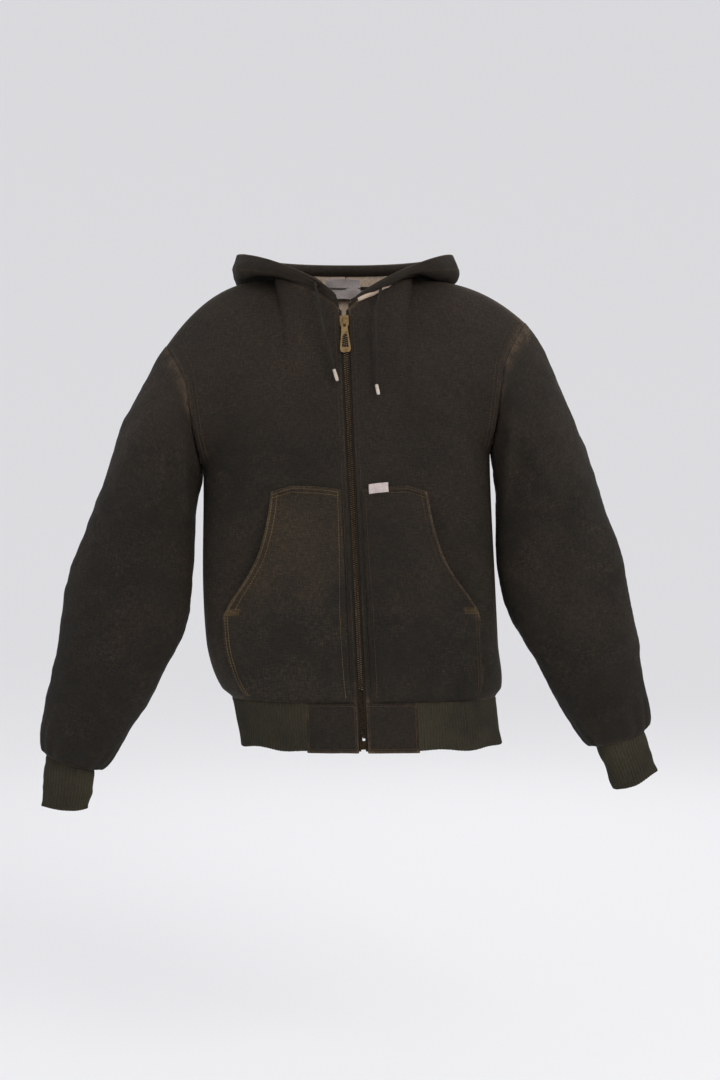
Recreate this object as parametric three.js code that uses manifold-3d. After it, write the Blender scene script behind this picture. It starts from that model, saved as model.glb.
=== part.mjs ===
// Hooded zip-front work jacket hanging from its neck. Millimetres, +Z up, the front faces -Y.
// Side +1 is the wearer's left (+X), side -1 the wearer's right.
import * as THREE from 'three';
import { mergeVertices } from 'three/addons/utils/BufferGeometryUtils.js';
import Module from 'manifold-3d';

const wasm = await Module();
wasm.setup();

// Body
const WAIST_Z = -622;
const BAND_HEIGHT = 66;
const SHOULDER_HALF = 260;
const SHOULDER_DROP = { left: 62, right: 96 };
const NECK_HALF = 100;
const NECK_FRONT_Z = -82;
const NECK_SIDE_Z = -18;
const NECK_BACK_DEPTH = 84;
const FRONT_DEPTH = 90;
const ARMHOLE_V = 0.645;
const ARMHOLE_DEPTH = 62;
const BODY_POWER = 2.4;
const BODY_HALF = [[-0.13, 188], [0, 190], [0.03, 203], [0.1, 210], [0.3, 212], [0.645, 208],
  [0.72, 214], [0.82, 220], [0.89, 227], [0.945, 242], [1, 260]];
const BACK_DEPTH = [[-0.13, 80], [0, 82], [0.04, 90], [0.4, 94], [0.8, 96], [1, 96]];
const BODY_CENTRE = [[-690, 38], [-622, 27], [-540, 10], [-300, 2], [0, 0]];

// Cloth
const SHELL = 2.2;
const LINING = 2;
const RIB = 3.2;
const GAP = 0.4;
const SEAM = 0.2;

// Zip
const ZIP_TOP_Z = -82;
const ZIP_TOP_X = -1;
const ZIP_LEAN = 0.045;
const ZIP_LENGTH = 606;
const ZIP_OPEN = 7;
const TAPE_WIDTH = 20;
const FACING_WIDTH = 42;
const TOOTH_IN = 0.75;
const TOOTH_OUT = 3;
const TOOTH_FRONT = -89.4;
const TOOTH_BACK = -85;
const SLIDER_S = 8;
const SLIDER_LENGTH = 14;
const SLIDER_HALF = 6.2;
const TAB_LENGTH = 42;

// Sleeve: station, distance from the middle, height, lean of the section, half width, half depth
const SLEEVE = [
  [0, 236, -207, 8, 95, 62],
  [0.12, 258, -256, 34, 76, 64],
  [0.25, 281, -333, 62, 73, 62],
  [0.5, 312, -478, 74, 91, 46],
  [0.7, 346, -580, 72, 77, 40],
  [0.86, 374, -657, 70, 62, 36],
  [0.95, 391, -699, 70, 48, 33],
  [1, 397, -716, 72, 37, 28],
];
const CUFF_LENGTH = 64;
const CUFF_LEAN = { left: 20, right: 7 };

// Hood lying down behind the neck
const HOOD_HALF = 157;
const HOOD_BACK = 150;
const HOOD_RIM_Z = 18;
const HOOD_FRONT_Z = -71;
const HOOD_SAG = 400;
const CASING = 28;
const CORD_R = 1.75;
const CORD_DEPTH = [[-1.6, 5], [-1.3, 7.1], [1.3, 7.1], [1.6, 5]];
const CASING_SWELL = [[-1.94, 2.5], [-1.84, 5.3], [-1.6, 5.3], [-1.3, 8], [1.3, 8], [1.6, 5.3], [1.84, 5.3],
  [1.94, 2.5]];
const EYELET_S = { left: 1.777, right: -1.833 };
const EYELET_T = 0.5;

const vec = (x, y, z) => new THREE.Vector3(x, y, z);
const mix = (a, b, t) => a + (b - a) * t;
const name = (side) => (side > 0 ? 'left' : 'right');

const COLOURS = { duck: 0x2d2620, rib: 0x2f2e22, lining: 0xa89a8a, brass: 0x9a7a44, tape: 0x1d1b19,
  cord: 0x26211c, tip: 0xd8d2c4, label: 0x8a8280 };
const METAL = new Set(['brass']);

function material(kind) {
  const metal = METAL.has(kind);
  return new THREE.MeshStandardMaterial({ name: kind, color: COLOURS[kind], metalness: metal ? 1 : 0,
    roughness: metal ? 0.4 : 0.9, side: THREE.DoubleSide });
}

// A smooth curve through hand-placed [position, value] points.
function along(points, x) {
  const last = points.length - 1;
  if (x <= points[0][0]) return points[0][1];
  if (x >= points[last][0]) return points[last][1];
  let i = 0;
  while (x > points[i + 1][0]) i += 1;
  const slope = (k) => {
    const a = points[Math.max(0, k - 1)];
    const b = points[Math.min(last, k + 1)];
    return (b[1] - a[1]) / (b[0] - a[0]);
  };
  const [x0, y0] = points[i];
  const [x1, y1] = points[i + 1];
  const h = x1 - x0;
  const t = (x - x0) / h;
  const t2 = t * t;
  const t3 = t2 * t;
  return y0 * (2 * t3 - 3 * t2 + 1) + y1 * (3 * t2 - 2 * t3)
    + h * slope(i) * (t3 - 2 * t2 + t) + h * slope(i + 1) * (t3 - t2);
}

function geometryOf(positions, triangles) {
  const made = new THREE.BufferGeometry();
  made.setAttribute('position', new THREE.Float32BufferAttribute(positions, 3));
  made.setIndex(triangles);
  return outward(made);
}

// Turns every face over when the enclosed volume comes out negative.
function outward(geometry) {
  const at = geometry.attributes.position;
  const index = geometry.index.array;
  let volume = 0;
  for (let k = 0; k < index.length; k += 3) {
    const a = vec(0, 0, 0).fromBufferAttribute(at, index[k]);
    const b = vec(0, 0, 0).fromBufferAttribute(at, index[k + 1]);
    const c = vec(0, 0, 0).fromBufferAttribute(at, index[k + 2]);
    volume += a.dot(b.cross(c));
  }
  if (volume < 0) {
    for (let k = 0; k < index.length; k += 3) [index[k], index[k + 1]] = [index[k + 1], index[k]];
  }
  return geometry;
}

// Cloth of real thickness: the surface fn(u, v), pushed along its own normal from one offset to the other.
function cloth(fn, us, vs, sign, from, to, loop = false, keep = (p) => p) {
  const positions = [];
  const columns = loop ? us.length - 1 : us.length;
  const step = 1e-4;
  const lowU = us[0];
  const highU = us[us.length - 1];
  const lowV = vs[0];
  const highV = vs[vs.length - 1];
  const depth = (value, u, v) => (typeof value === 'function' ? value(u, v) : value);
  for (const side of [from, to]) {
    for (let i = 0; i < columns; i += 1) {
      for (const v of vs) {
        const u = us[i];
        const spanU = (highU - lowU) * step;
        const spanV = (highV - lowV) * step;
        const u0 = loop ? u - spanU : Math.max(lowU, u - spanU);
        const u1 = loop ? u + spanU : Math.min(highU, u + spanU);
        const v0 = Math.max(lowV, v - spanV);
        const v1 = Math.min(highV, v + spanV);
        const du = fn(u1, v).sub(fn(u0, v));
        const dv = fn(u, v1).sub(fn(u, v0));
        const normal = du.cross(dv).normalize().multiplyScalar(-sign * depth(side, u, v));
        const p = keep(fn(u, v).add(normal));
        positions.push(p.x, p.y, p.z);
      }
    }
  }
  const rows = vs.length;
  const half = columns * rows;
  const id = (layer, i, j) => layer * half + (i % columns) * rows + j;
  const triangles = [];
  const quad = (a, b, c, d) => triangles.push(a, b, c, a, c, d);
  const cells = loop ? columns : columns - 1;
  for (let i = 0; i < cells; i += 1) {
    for (let j = 0; j < rows - 1; j += 1) {
      quad(id(0, i, j), id(0, i + 1, j), id(0, i + 1, j + 1), id(0, i, j + 1));
      quad(id(1, i, j), id(1, i, j + 1), id(1, i + 1, j + 1), id(1, i + 1, j));
    }
    quad(id(0, i, 0), id(1, i, 0), id(1, i + 1, 0), id(0, i + 1, 0));
    quad(id(0, i, rows - 1), id(0, i + 1, rows - 1), id(1, i + 1, rows - 1), id(1, i, rows - 1));
  }
  if (!loop) {
    const end = columns - 1;
    for (let j = 0; j < rows - 1; j += 1) {
      quad(id(0, 0, j), id(0, 0, j + 1), id(1, 0, j + 1), id(1, 0, j));
      quad(id(0, end, j), id(1, end, j), id(1, end, j + 1), id(0, end, j + 1));
    }
  }
  return geometryOf(positions, triangles);
}

function steps(from, to, count) {
  return Array.from({ length: count + 1 }, (_, k) => mix(from, to, k / count));
}

// ---- Body surface -------------------------------------------------------------------------------

const zipX = (z) => ZIP_TOP_X + ZIP_LEAN * (ZIP_TOP_Z - z);

function topZ(side, face, f) {
  const x = f * SHOULDER_HALF;
  if (x < NECK_HALF) {
    return face < 0 ? mix(NECK_FRONT_Z, NECK_SIDE_Z, (x / NECK_HALF) ** 0.7) : NECK_SIDE_Z;
  }
  const t = (x - NECK_HALF) / (SHOULDER_HALF - NECK_HALF);
  return NECK_SIDE_Z - SHOULDER_DROP[name(side)] * t ** 2.4;
}

function bodyZ(side, face, f, v) {
  return v < 0 ? WAIST_Z + v * 530 : mix(WAIST_Z, topZ(side, face, f), v);
}

function halfWidth(side, z, v) {
  return along(BODY_HALF, v) + side * (along(BODY_CENTRE, z) - zipX(z));
}

// face -1 is the front, +1 the back; f runs from the middle to the side, v from the waist to the shoulder.
function body(side, face, f, v) {
  const z = bodyZ(side, face, f, v);
  const x = zipX(z) + side * f * halfWidth(side, z, v);
  const close = v < 0.62 ? 1 : Math.sqrt(Math.max(0, 1 - ((v - 0.62) / 0.38) ** 2));
  const rise = Math.min(1, Math.max(0, (v - ARMHOLE_V) / (1 - ARMHOLE_V)));
  const arm = ARMHOLE_DEPTH * Math.max(0, Math.sin(Math.PI * rise)) ** 0.8;
  const full = face < 0 ? FRONT_DEPTH : along(BACK_DEPTH, v);
  const shape = Math.max(0, 1 - f ** BODY_POWER) ** (1 / BODY_POWER);
  const ring = (f * SHOULDER_HALF) / NECK_HALF;
  const neckDepth = face < 0 ? FRONT_DEPTH : NECK_BACK_DEPTH;
  const neck = ring < 1 ? neckDepth * Math.sqrt(1 - ring * ring) : 0;
  const depth = SEAM + arm + (full * close - arm) * shape + (1 - close) * neck;
  return vec(x, face * depth, z);
}

// The same surface addressed by the distance from the zip line.
function bodyAt(side, face, distance, v) {
  const z = bodyZ(side, face, distance / SHOULDER_HALF, v);
  return body(side, face, Math.min(1, distance / halfWidth(side, z, v)), v);
}

const NECK_F = NECK_HALF / SHOULDER_HALF;
const ACROSS = [0.07, 0.14, 0.19, 0.24, 0.33, NECK_F, 0.5, 0.62, 0.74, 0.85, 0.93, 0.98, 1];
const UPWARD = [0.0008, 0.03, 0.1, 0.26, 0.45, 0.645, 0.74, 0.83, 0.9, 0.945, 0.988, 1];
const LINED = UPWARD.slice(0, -1);

// The first column sits a fixed distance from the zip; the rest are shares of the half width.
function frontPanel(side, first, columns, rows, from, to) {
  const next = columns[0];
  const fn = (u, v) => {
    if (u >= next) return body(side, -1, u, v);
    const start = first / halfWidth(side, bodyZ(side, -1, u, v), v);
    return body(side, -1, mix(start, next, u / next), v);
  };
  return cloth(fn, [0, ...columns], rows, side, from, to, false, keepTo(-1));
}

// Holds cloth on its own side of the seam between front and back.
function keepTo(face) {
  return (p) => vec(p.x, face * Math.max(p.y * face, SEAM), p.z);
}

function backPanel(rows, from, to) {
  const half = [0.1, 0.24, NECK_F, 0.5, 0.62, 0.74, 0.85, 0.93, 0.98, 1];
  const us = [...half.map((u) => -u).reverse(), 0, ...half];
  const fn = (u, v) => body(u < 0 ? -1 : 1, 1, Math.abs(u), v);
  return cloth(fn, us, rows, -1, from, to, false, keepTo(1));
}

// A strip beside the zip, a fixed distance wide.
function strip(side, inner, outer, from, to, columns, rows) {
  const fn = (u, v) => bodyAt(side, -1, mix(inner, outer, u), v);
  return cloth(fn, steps(0, 1, columns), rows, side, from, to);
}

// ---- Pockets, waistband -------------------------------------------------------------------------

const POCKET_EDGE = [[0, 0.84], [0.42, 0.86], [0.5, 0.8], [0.6, 0.69], [0.7, 0.61], [0.85, 0.55], [1, 0.52]];

function pocketPoint(side, g, w) {
  const outer = along(POCKET_EDGE, w);
  const f = mix(0.07, outer, g);
  const v = mix(0.004, mix(0.53, 0.488, g), w);
  const mouth = Math.sin(Math.PI * Math.min(1, Math.max(0, (w - 0.44) / 0.54)));
  const bulge = 13 * g * g * mouth + 4 * Math.sin(Math.PI * g) * Math.sin(Math.PI * w);
  return body(side, -1, f, v).add(vec(0, -bulge, 0));
}

function pocket(side) {
  const fn = (g, w) => pocketPoint(side, g, w);
  const ws = [0, 0.12, 0.28, 0.42, 0.5, 0.6, 0.7, 0.85, 1];
  const lift = (g) => -GAP - 1.8 * g;
  return cloth(fn, steps(0, 1, 8), ws, side, (g) => lift(g) - 1.6, lift);
}

const TAB_OUTER = 78;

// One rib strip: from the edge of the right tab round the back to the edge of the left tab.
function waistRib() {
  const start = TAB_OUTER + GAP;
  const fn = (u, v) => {
    const side = u < 0 ? -1 : 1;
    const reach = Math.abs(u);
    if (reach <= 1) return body(side, 1, reach, v);
    const z = bodyZ(side, -1, 0.3, v);
    return body(side, -1, mix(1, start / halfWidth(side, z, v), reach - 1), v);
  };
  const back = [0.2, 0.4, 0.6, 0.76, 0.88, 0.96, 1];
  const front = [1.06, 1.16, 1.32, 1.55, 1.78, 2];
  const half = [...back, ...front];
  const us = [...half.map((u) => -u).reverse(), 0, ...half];
  return cloth(fn, us, steps(-BAND_HEIGHT / 530, -0.0008, 3), -1, 0, RIB);
}

function waistTab(side) {
  const low = -(BAND_HEIGHT + 3) / 530;
  return strip(side, ZIP_OPEN, TAB_OUTER, 0, SHELL, 4, steps(low, -0.0008, 2));
}

// ---- Sleeves and cuffs --------------------------------------------------------------------------

const station = (k) => SLEEVE.map((row) => [row[0], row[k]]);

function armholePoint(side, a) {
  const front = a <= 0.5;
  const down = front ? a * 2 : (1 - a) * 2;
  const v = mix(1, ARMHOLE_V, down);
  return body(side, front ? -1 : 1, 1, v).add(vec(side * (0.92 + 0.4 * Math.sin(Math.PI * down)), 0, 0));
}

function sleeveLift(side) {
  return side > 0 ? SHOULDER_DROP.right - SHOULDER_DROP.left : 0;
}

// a runs once round the section from the top over the front; t runs from the armhole to the wrist.
function sleeveSection(side, a, t) {
  const angle = 2 * Math.PI * a;
  const lean = (along(station(3), t) * Math.PI) / 180;
  const half = along(station(4), t) * Math.cos(angle);
  const x = side * (along(station(1), t) + half * Math.sin(lean));
  const z = along(station(2), t) + half * Math.cos(lean) + sleeveLift(side);
  return vec(x, -6 - along(station(5), t) * Math.sin(angle), z);
}

// The section is eased off the armhole over the first quarter, and kept clear of the side of the body.
function sleevePoint(side, a, t) {
  const share = Math.max(0, 1 - t / 0.24);
  const offset = armholePoint(side, a).sub(sleeveSection(side, a, 0));
  const p = sleeveSection(side, a, t).addScaledVector(offset, share * share * (3 - 2 * share));
  const v = Math.min(1, Math.max(0, (p.z - WAIST_Z) / (topZ(side, -1, 1) - WAIST_Z)));
  const edge = body(side, -1, 1, v).x * side + 0.92 + 1.4 * Math.min(1, t / 0.05);
  p.x = side * Math.max(p.x * side, edge);
  return p;
}

const ROUND = steps(0, 1, 14);
const DOWN = [0, 0.05, 0.11, 0.18, 0.28, 0.4, 0.54, 0.7, 0.84, 0.94, 1];

function sleeve(side, from, to, rows) {
  return cloth((a, t) => sleevePoint(side, a, t), ROUND, rows, side, from, to, true);
}

function cuffPoint(side, a, t) {
  const angle = 2 * Math.PI * a;
  const first = SLEEVE[SLEEVE.length - 1];
  const flat = 90 - CUFF_LEAN[name(side)];
  const lean = (mix(first[3], flat, Math.min(1, t * 2)) * Math.PI) / 180;
  const half = mix(35, 31, t) * Math.cos(angle);
  const run = CUFF_LENGTH * t + GAP;
  const outX = first[1] + run * Math.cos((flat * Math.PI) / 180);
  const x = side * (outX + half * Math.sin(lean));
  const z = first[2] - run * Math.sin((flat * Math.PI) / 180) + half * Math.cos(lean) + sleeveLift(side);
  return vec(x, -6 - mix(26, 24, t) * Math.sin(angle), z);
}

function cuff(side) {
  return cloth((a, t) => cuffPoint(side, a, t), ROUND, [0, 0.3, 0.65, 1], side, 0, RIB, true);
}

// ---- Hood ---------------------------------------------------------------------------------------

// s is the sine-like position round the neck: 0 at the back middle, +-1 at the shoulder, +-2 at the front.
function hoodRing(s) {
  const angle = (s * Math.PI) / 2;
  const out = Math.sin(angle);
  const back = Math.max(0, Math.cos(angle));
  const front = Math.max(0, -Math.cos(angle));
  return { out, back, front };
}

function hoodPoints(s) {
  const { out, back, front } = hoodRing(s);
  const width = Math.abs(out);
  const rim = front > 0 ? mix(HOOD_FRONT_Z, HOOD_RIM_Z, width ** 0.6) : HOOD_RIM_Z + 6 * back;
  const lean = zipX(NECK_FRONT_Z);
  const face = front > 0 ? -1 : 1;
  const n = body(out < 0 ? -1 : 1, face, NECK_F * width, 1).add(vec(0, -face * SEAM, GAP + 0.5));
  const r = vec(HOOD_HALF * out + lean, HOOD_BACK * back - (FRONT_DEPTH + 4) * front + 8 * width, rim);
  const side = 1 - front;
  const b1 = n.clone().add(vec(26 * out * side, 46 * back - front,
    26 * width * side - 50 * back ** 3 + 6 * front));
  const b2 = r.clone().add(vec(20 * out * side, 66 * back - front,
    -76 * width * side * (1 - back) - HOOD_SAG * back ** 1.5 - 8 * front));
  return [n, b1, b2, r];
}

function hoodPoint(s, t) {
  const [n, b1, b2, r] = hoodPoints(s);
  const q = 1 - t;
  return n.multiplyScalar(q * q * q).add(b1.multiplyScalar(3 * q * q * t))
    .add(b2.multiplyScalar(3 * q * t * t)).add(r.multiplyScalar(t * t * t));
}

// Where the casing band begins, so that it is CASING wide at the rim.
function casingStart(s, width = CASING) {
  const [, , b2, r] = hoodPoints(s);
  return 1 - width * Math.min(0.62 / CASING, 1 / (3 * b2.distanceTo(r) + 1));
}

const HOOD_FRONT = 1.955;
const HOOD_S = [0, 0.167, 0.429, 0.64, 0.84, 1, 1.17, 1.341, 1.46, 1.574, 1.68, 1.766, 1.83, 1.885,
  HOOD_FRONT];
const HOOD_W = [0, 0.08, 0.2, 0.34, 0.48, 0.56, 0.63, 0.7, 0.78, 0.88, 1];

function hoodHalf(side) {
  const fn = (s, w) => {
    const start = casingStart(s);
    return hoodPoint(side * s, w <= 1 ? w * start : mix(start, 1, w - 1));
  };
  const us = HOOD_S.map((s, k) => (k ? s : 0.0015));
  const made = cloth(fn, us, [...HOOD_W, 1.5, 2], -side, 0, SHELL);
  return cut(made, eyeletHole(side));
}

function hoodLining(side) {
  const fn = (s, w) => hoodPoint(side * s, w * casingStart(s, CASING + 0.8));
  const us = HOOD_S.map((s, k) => (k ? s : 0.004));
  const inner = (s, w) => SHELL + GAP + 1.4 * Math.sin(Math.PI * w);
  return cloth(fn, us, [0.09, ...HOOD_W.slice(2)], -side, inner, (s, w) => inner(s, w) + 1.6);
}

function casing() {
  const fn = (s, w) => hoodPoint(s, mix(casingStart(s), 1, w));
  const us = [...HOOD_S.slice(1).map((s) => -s).reverse(), ...HOOD_S];
  const swell = (s, w) => SHELL + GAP + along(CASING_SWELL, s) * Math.sin(Math.PI * w) ** 0.8;
  return cloth(fn, us, [0, 0.2, 0.4, 0.6, 0.8, 1], -1, swell, (s, w) => swell(s, w) + 1.2);
}

function normalAt(fn, s, t) {
  const h = 1e-3;
  const du = fn(s + h, t).sub(fn(s - h, t));
  const dv = fn(s, t + h).sub(fn(s, t - h));
  return dv.cross(du).normalize();
}

// The cord lies in the swell of the casing; depth is measured inward from the outside of the hood.
function casingPoint(s, depth, share = EYELET_T) {
  const t = mix(casingStart(s), 1, share);
  return hoodPoint(s, t).addScaledVector(normalAt(hoodPoint, s, t), -depth);
}

const eyeletS = (side) => EYELET_S[name(side)];

function alongNormal(side, geometry, depth) {
  const s = eyeletS(side);
  const t = mix(casingStart(s), 1, EYELET_T);
  const turn = new THREE.Quaternion().setFromUnitVectors(vec(0, 1, 0), normalAt(hoodPoint, s, t));
  const at = casingPoint(s, depth);
  return geometry.applyQuaternion(turn).translate(at.x, at.y, at.z);
}

const eyeletHole = (side) => alongNormal(side, new THREE.CylinderGeometry(4.3, 4.3, 12, 20), 0);

function eyelet(side) {
  const section = [[2.5, -2.4], [3.6, -2.4], [3.6, 1.7], [5.4, 1.7], [5.2, 2.4], [2.8, 2.6], [2.5, 2.3],
    [2.5, -2.4]];
  const turned = new THREE.LatheGeometry(section.map(([r, h]) => new THREE.Vector2(r, h)), 20);
  return alongNormal(side, solid(turned), 0);
}

// ---- Booleans -----------------------------------------------------------------------------------

function solid(geometry) {
  const bare = geometry.clone();
  bare.deleteAttribute('normal');
  bare.deleteAttribute('uv');
  return outward(mergeVertices(bare, 1e-4));
}

function toManifold(geometry) {
  const bare = solid(geometry);
  const vertProperties = new Float32Array(bare.attributes.position.array);
  const triVerts = new Uint32Array(bare.index.array);
  return new wasm.Manifold(new wasm.Mesh({ numProp: 3, vertProperties, triVerts }));
}

function fromManifold(made) {
  const mesh = made.getMesh();
  const geometry = new THREE.BufferGeometry();
  geometry.setAttribute('position', new THREE.Float32BufferAttribute(mesh.vertProperties, 3));
  geometry.setIndex(Array.from(mesh.triVerts));
  return geometry;
}

const cut = (a, b) => fromManifold(toManifold(a).subtract(toManifold(b)));
const join = (...all) => fromManifold(wasm.Manifold.union(all.map(toManifold)));

// ---- Zip, in its own leaning frame: s runs down the chain ---------------------------------------

function box(x0, x1, y0, y1, s0, s1) {
  const made = new THREE.BoxGeometry(x1 - x0, y1 - y0, s1 - s0);
  return made.translate((x0 + x1) / 2, (y0 + y1) / 2, -(s0 + s1) / 2);
}

function toothRow(side) {
  const end = side > 0 ? ZIP_LENGTH - 13 : ZIP_LENGTH - 31;
  const inner = side > 0 ? TOOTH_IN : -TOOTH_OUT;
  return box(inner, inner + TOOTH_OUT - TOOTH_IN, TOOTH_FRONT, TOOTH_BACK, 3.4, end);
}

function topStop(side) {
  const inner = side > 0 ? TOOTH_IN : -TOOTH_OUT;
  return box(inner, inner + TOOTH_OUT - TOOTH_IN, TOOTH_FRONT, TOOTH_BACK, 0.4, 3);
}

const pin = () => box(-TOOTH_OUT, -TOOTH_IN, TOOTH_FRONT, TOOTH_BACK, ZIP_LENGTH - 30.6, ZIP_LENGTH - 13);

function retainer() {
  return box(-4.6, 4.6, TOOTH_FRONT - 0.4, TOOTH_BACK + 0.6, ZIP_LENGTH - 12.6, ZIP_LENGTH - 1);
}

function slider() {
  const top = SLIDER_S - SLIDER_LENGTH / 2;
  const end = SLIDER_S + SLIDER_LENGTH / 2;
  const front = box(-SLIDER_HALF, SLIDER_HALF, TOOTH_FRONT - 2.4, TOOTH_FRONT - 0.4, top, end);
  const back = box(-SLIDER_HALF, SLIDER_HALF, TOOTH_BACK + 0.4, TOOTH_BACK + 2.2, top, end);
  const web = box(-0.4, 0.4, TOOTH_FRONT - 1, TOOTH_BACK + 1, top, end);
  const upper = box(-1.2, 1.2, TOOTH_FRONT - 7.8, TOOTH_FRONT - 1, SLIDER_S - 5.5, SLIDER_S - 4);
  const lower = box(-1.2, 1.2, TOOTH_FRONT - 7.8, TOOTH_FRONT - 1, SLIDER_S + 4, SLIDER_S + 5.5);
  const beam = box(-1.2, 1.2, TOOTH_FRONT - 7.8, TOOTH_FRONT - 6.3, SLIDER_S - 5.5, SLIDER_S + 5.5);
  return join(front, back, web, upper, lower, beam);
}

const TAB_Y = TOOTH_FRONT - 4.35;
const TAB_S = SLIDER_S + 2.2;

// Narrow at the bail, flared at the foot, with a small slot and a D-shaped window.
function pullTab() {
  const outline = new THREE.Shape();
  outline.moveTo(-4.4, 1.1);
  outline.lineTo(4.4, 1.1);
  outline.lineTo(4.6, -10);
  outline.lineTo(7.4, -TAB_LENGTH + 6);
  outline.quadraticCurveTo(7.6, -TAB_LENGTH, 3.4, -TAB_LENGTH);
  outline.lineTo(-3.4, -TAB_LENGTH);
  outline.quadraticCurveTo(-7.6, -TAB_LENGTH, -7.4, -TAB_LENGTH + 6);
  outline.lineTo(-4.6, -10);
  const slot = new THREE.Path();
  slot.moveTo(-1.8, -1.1);
  slot.lineTo(-1.8, -6.6);
  slot.lineTo(1.8, -6.6);
  slot.lineTo(1.8, -1.1);
  const window = new THREE.Path();
  window.absarc(0, -20, 3.2, 0, Math.PI, false);
  window.lineTo(-4.6, -TAB_LENGTH + 7);
  window.lineTo(4.6, -TAB_LENGTH + 7);
  outline.holes = [slot, window];
  const made = new THREE.ExtrudeGeometry(outline, { depth: 1.8, bevelEnabled: false, curveSegments: 6 });
  return solid(made).translate(0, 0, -0.9).rotateX(Math.PI / 2).translate(0, TAB_Y, -TAB_S);
}

function leaning(geometry) {
  return geometry.rotateY(-Math.atan(ZIP_LEAN)).translate(ZIP_TOP_X, 0, ZIP_TOP_Z);
}

// ---- Drawcord -----------------------------------------------------------------------------------

const FREE_END = {
  left: [vec(43, -101, -76), vec(43, -100, -110), vec(44, -99, -145), vec(44, -98.5, -179)],
  right: [vec(-34, -101, -76), vec(-29, -100, -105), vec(-21, -99, -130), vec(-15, -98.5, -158)],
};
const TIP_END = { left: vec(47, -98.5, -193), right: vec(-10, -98.5, -174) };

function cordRoute() {
  const exit = (side) => [4.6, 3.2, 1.6, -0.6, -3.4].map((depth) => casingPoint(eyeletS(side), depth));
  const run = steps(eyeletS(-1) + 0.07, eyeletS(1) - 0.07, 38)
    .map((s) => casingPoint(s, along(CORD_DEPTH, s)));
  const hang = (side) => {
    const ends = [casingPoint(eyeletS(side), -5.5), ...FREE_END[name(side)]];
    return new THREE.CatmullRomCurve3(ends, false, 'centripetal').getPoints(12);
  };
  return [...hang(-1).reverse(), ...exit(-1).reverse(), ...run, ...exit(1), ...hang(1)];
}

// A round cord with one ring of corners at each point and a fan over each end.
function sweep(points, radius, sides) {
  const positions = [];
  const triangles = [];
  const last = points.length - 1;
  let across = vec(0, 0, 1);
  points.forEach((p, k) => {
    const ahead = points[Math.min(last, k + 1)].clone().sub(points[Math.max(0, k - 1)]).normalize();
    across = across.addScaledVector(ahead, -across.dot(ahead)).normalize();
    const other = ahead.clone().cross(across);
    for (let i = 0; i < sides; i += 1) {
      const angle = (2 * Math.PI * i) / sides;
      const corner = p.clone().addScaledVector(across, radius * Math.cos(angle));
      positions.push(...corner.addScaledVector(other, radius * Math.sin(angle)).toArray());
    }
  });
  for (let k = 0; k < last; k += 1) {
    for (let i = 0; i < sides; i += 1) {
      const a = k * sides + i;
      const b = k * sides + ((i + 1) % sides);
      triangles.push(a, b, b + sides, a, b + sides, a + sides);
    }
  }
  positions.push(...points[0].toArray(), ...points[last].toArray());
  const hub = (last + 1) * sides;
  for (let i = 0; i < sides; i += 1) {
    const next = (i + 1) % sides;
    triangles.push(hub, next, i, hub + 1, last * sides + i, last * sides + next);
  }
  return geometryOf(positions, triangles);
}

function cordTip(side) {
  const from = FREE_END[name(side)][3];
  const aim = TIP_END[name(side)].clone().sub(from);
  const start = from.clone().addScaledVector(aim.clone().normalize(), 0.5);
  const made = new THREE.CylinderGeometry(2.3, 2.1, aim.length(), 10);
  const turn = new THREE.Quaternion().setFromUnitVectors(vec(0, -1, 0), aim.clone().normalize());
  const middle = start.addScaledVector(aim, 0.5);
  return made.applyQuaternion(turn).translate(middle.x, middle.y, middle.z);
}

// ---- Labels -------------------------------------------------------------------------------------

function neckLabel() {
  const fn = (u, v) => body(u < 0 ? -1 : 1, 1, Math.abs(u), v);
  const inner = SHELL + GAP + LINING + GAP;
  return cloth(fn, [-0.1, 0, 0.1], [0.945, 0.988], -1, inner, inner + 0.8);
}

function pocketLabel() {
  const fn = (g, w) => pocketPoint(1, mix(0.13, 0.35, g), mix(0.955, 0.985, w));
  return cloth(fn, steps(0, 1, 2), [0, 1], 1, -3.9, -3.1);
}

// ---- Assembly -----------------------------------------------------------------------------------

function mesh(label, geometry, kind) {
  const made = new THREE.Mesh(geometry, material(kind));
  made.name = label;
  return made;
}

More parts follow.
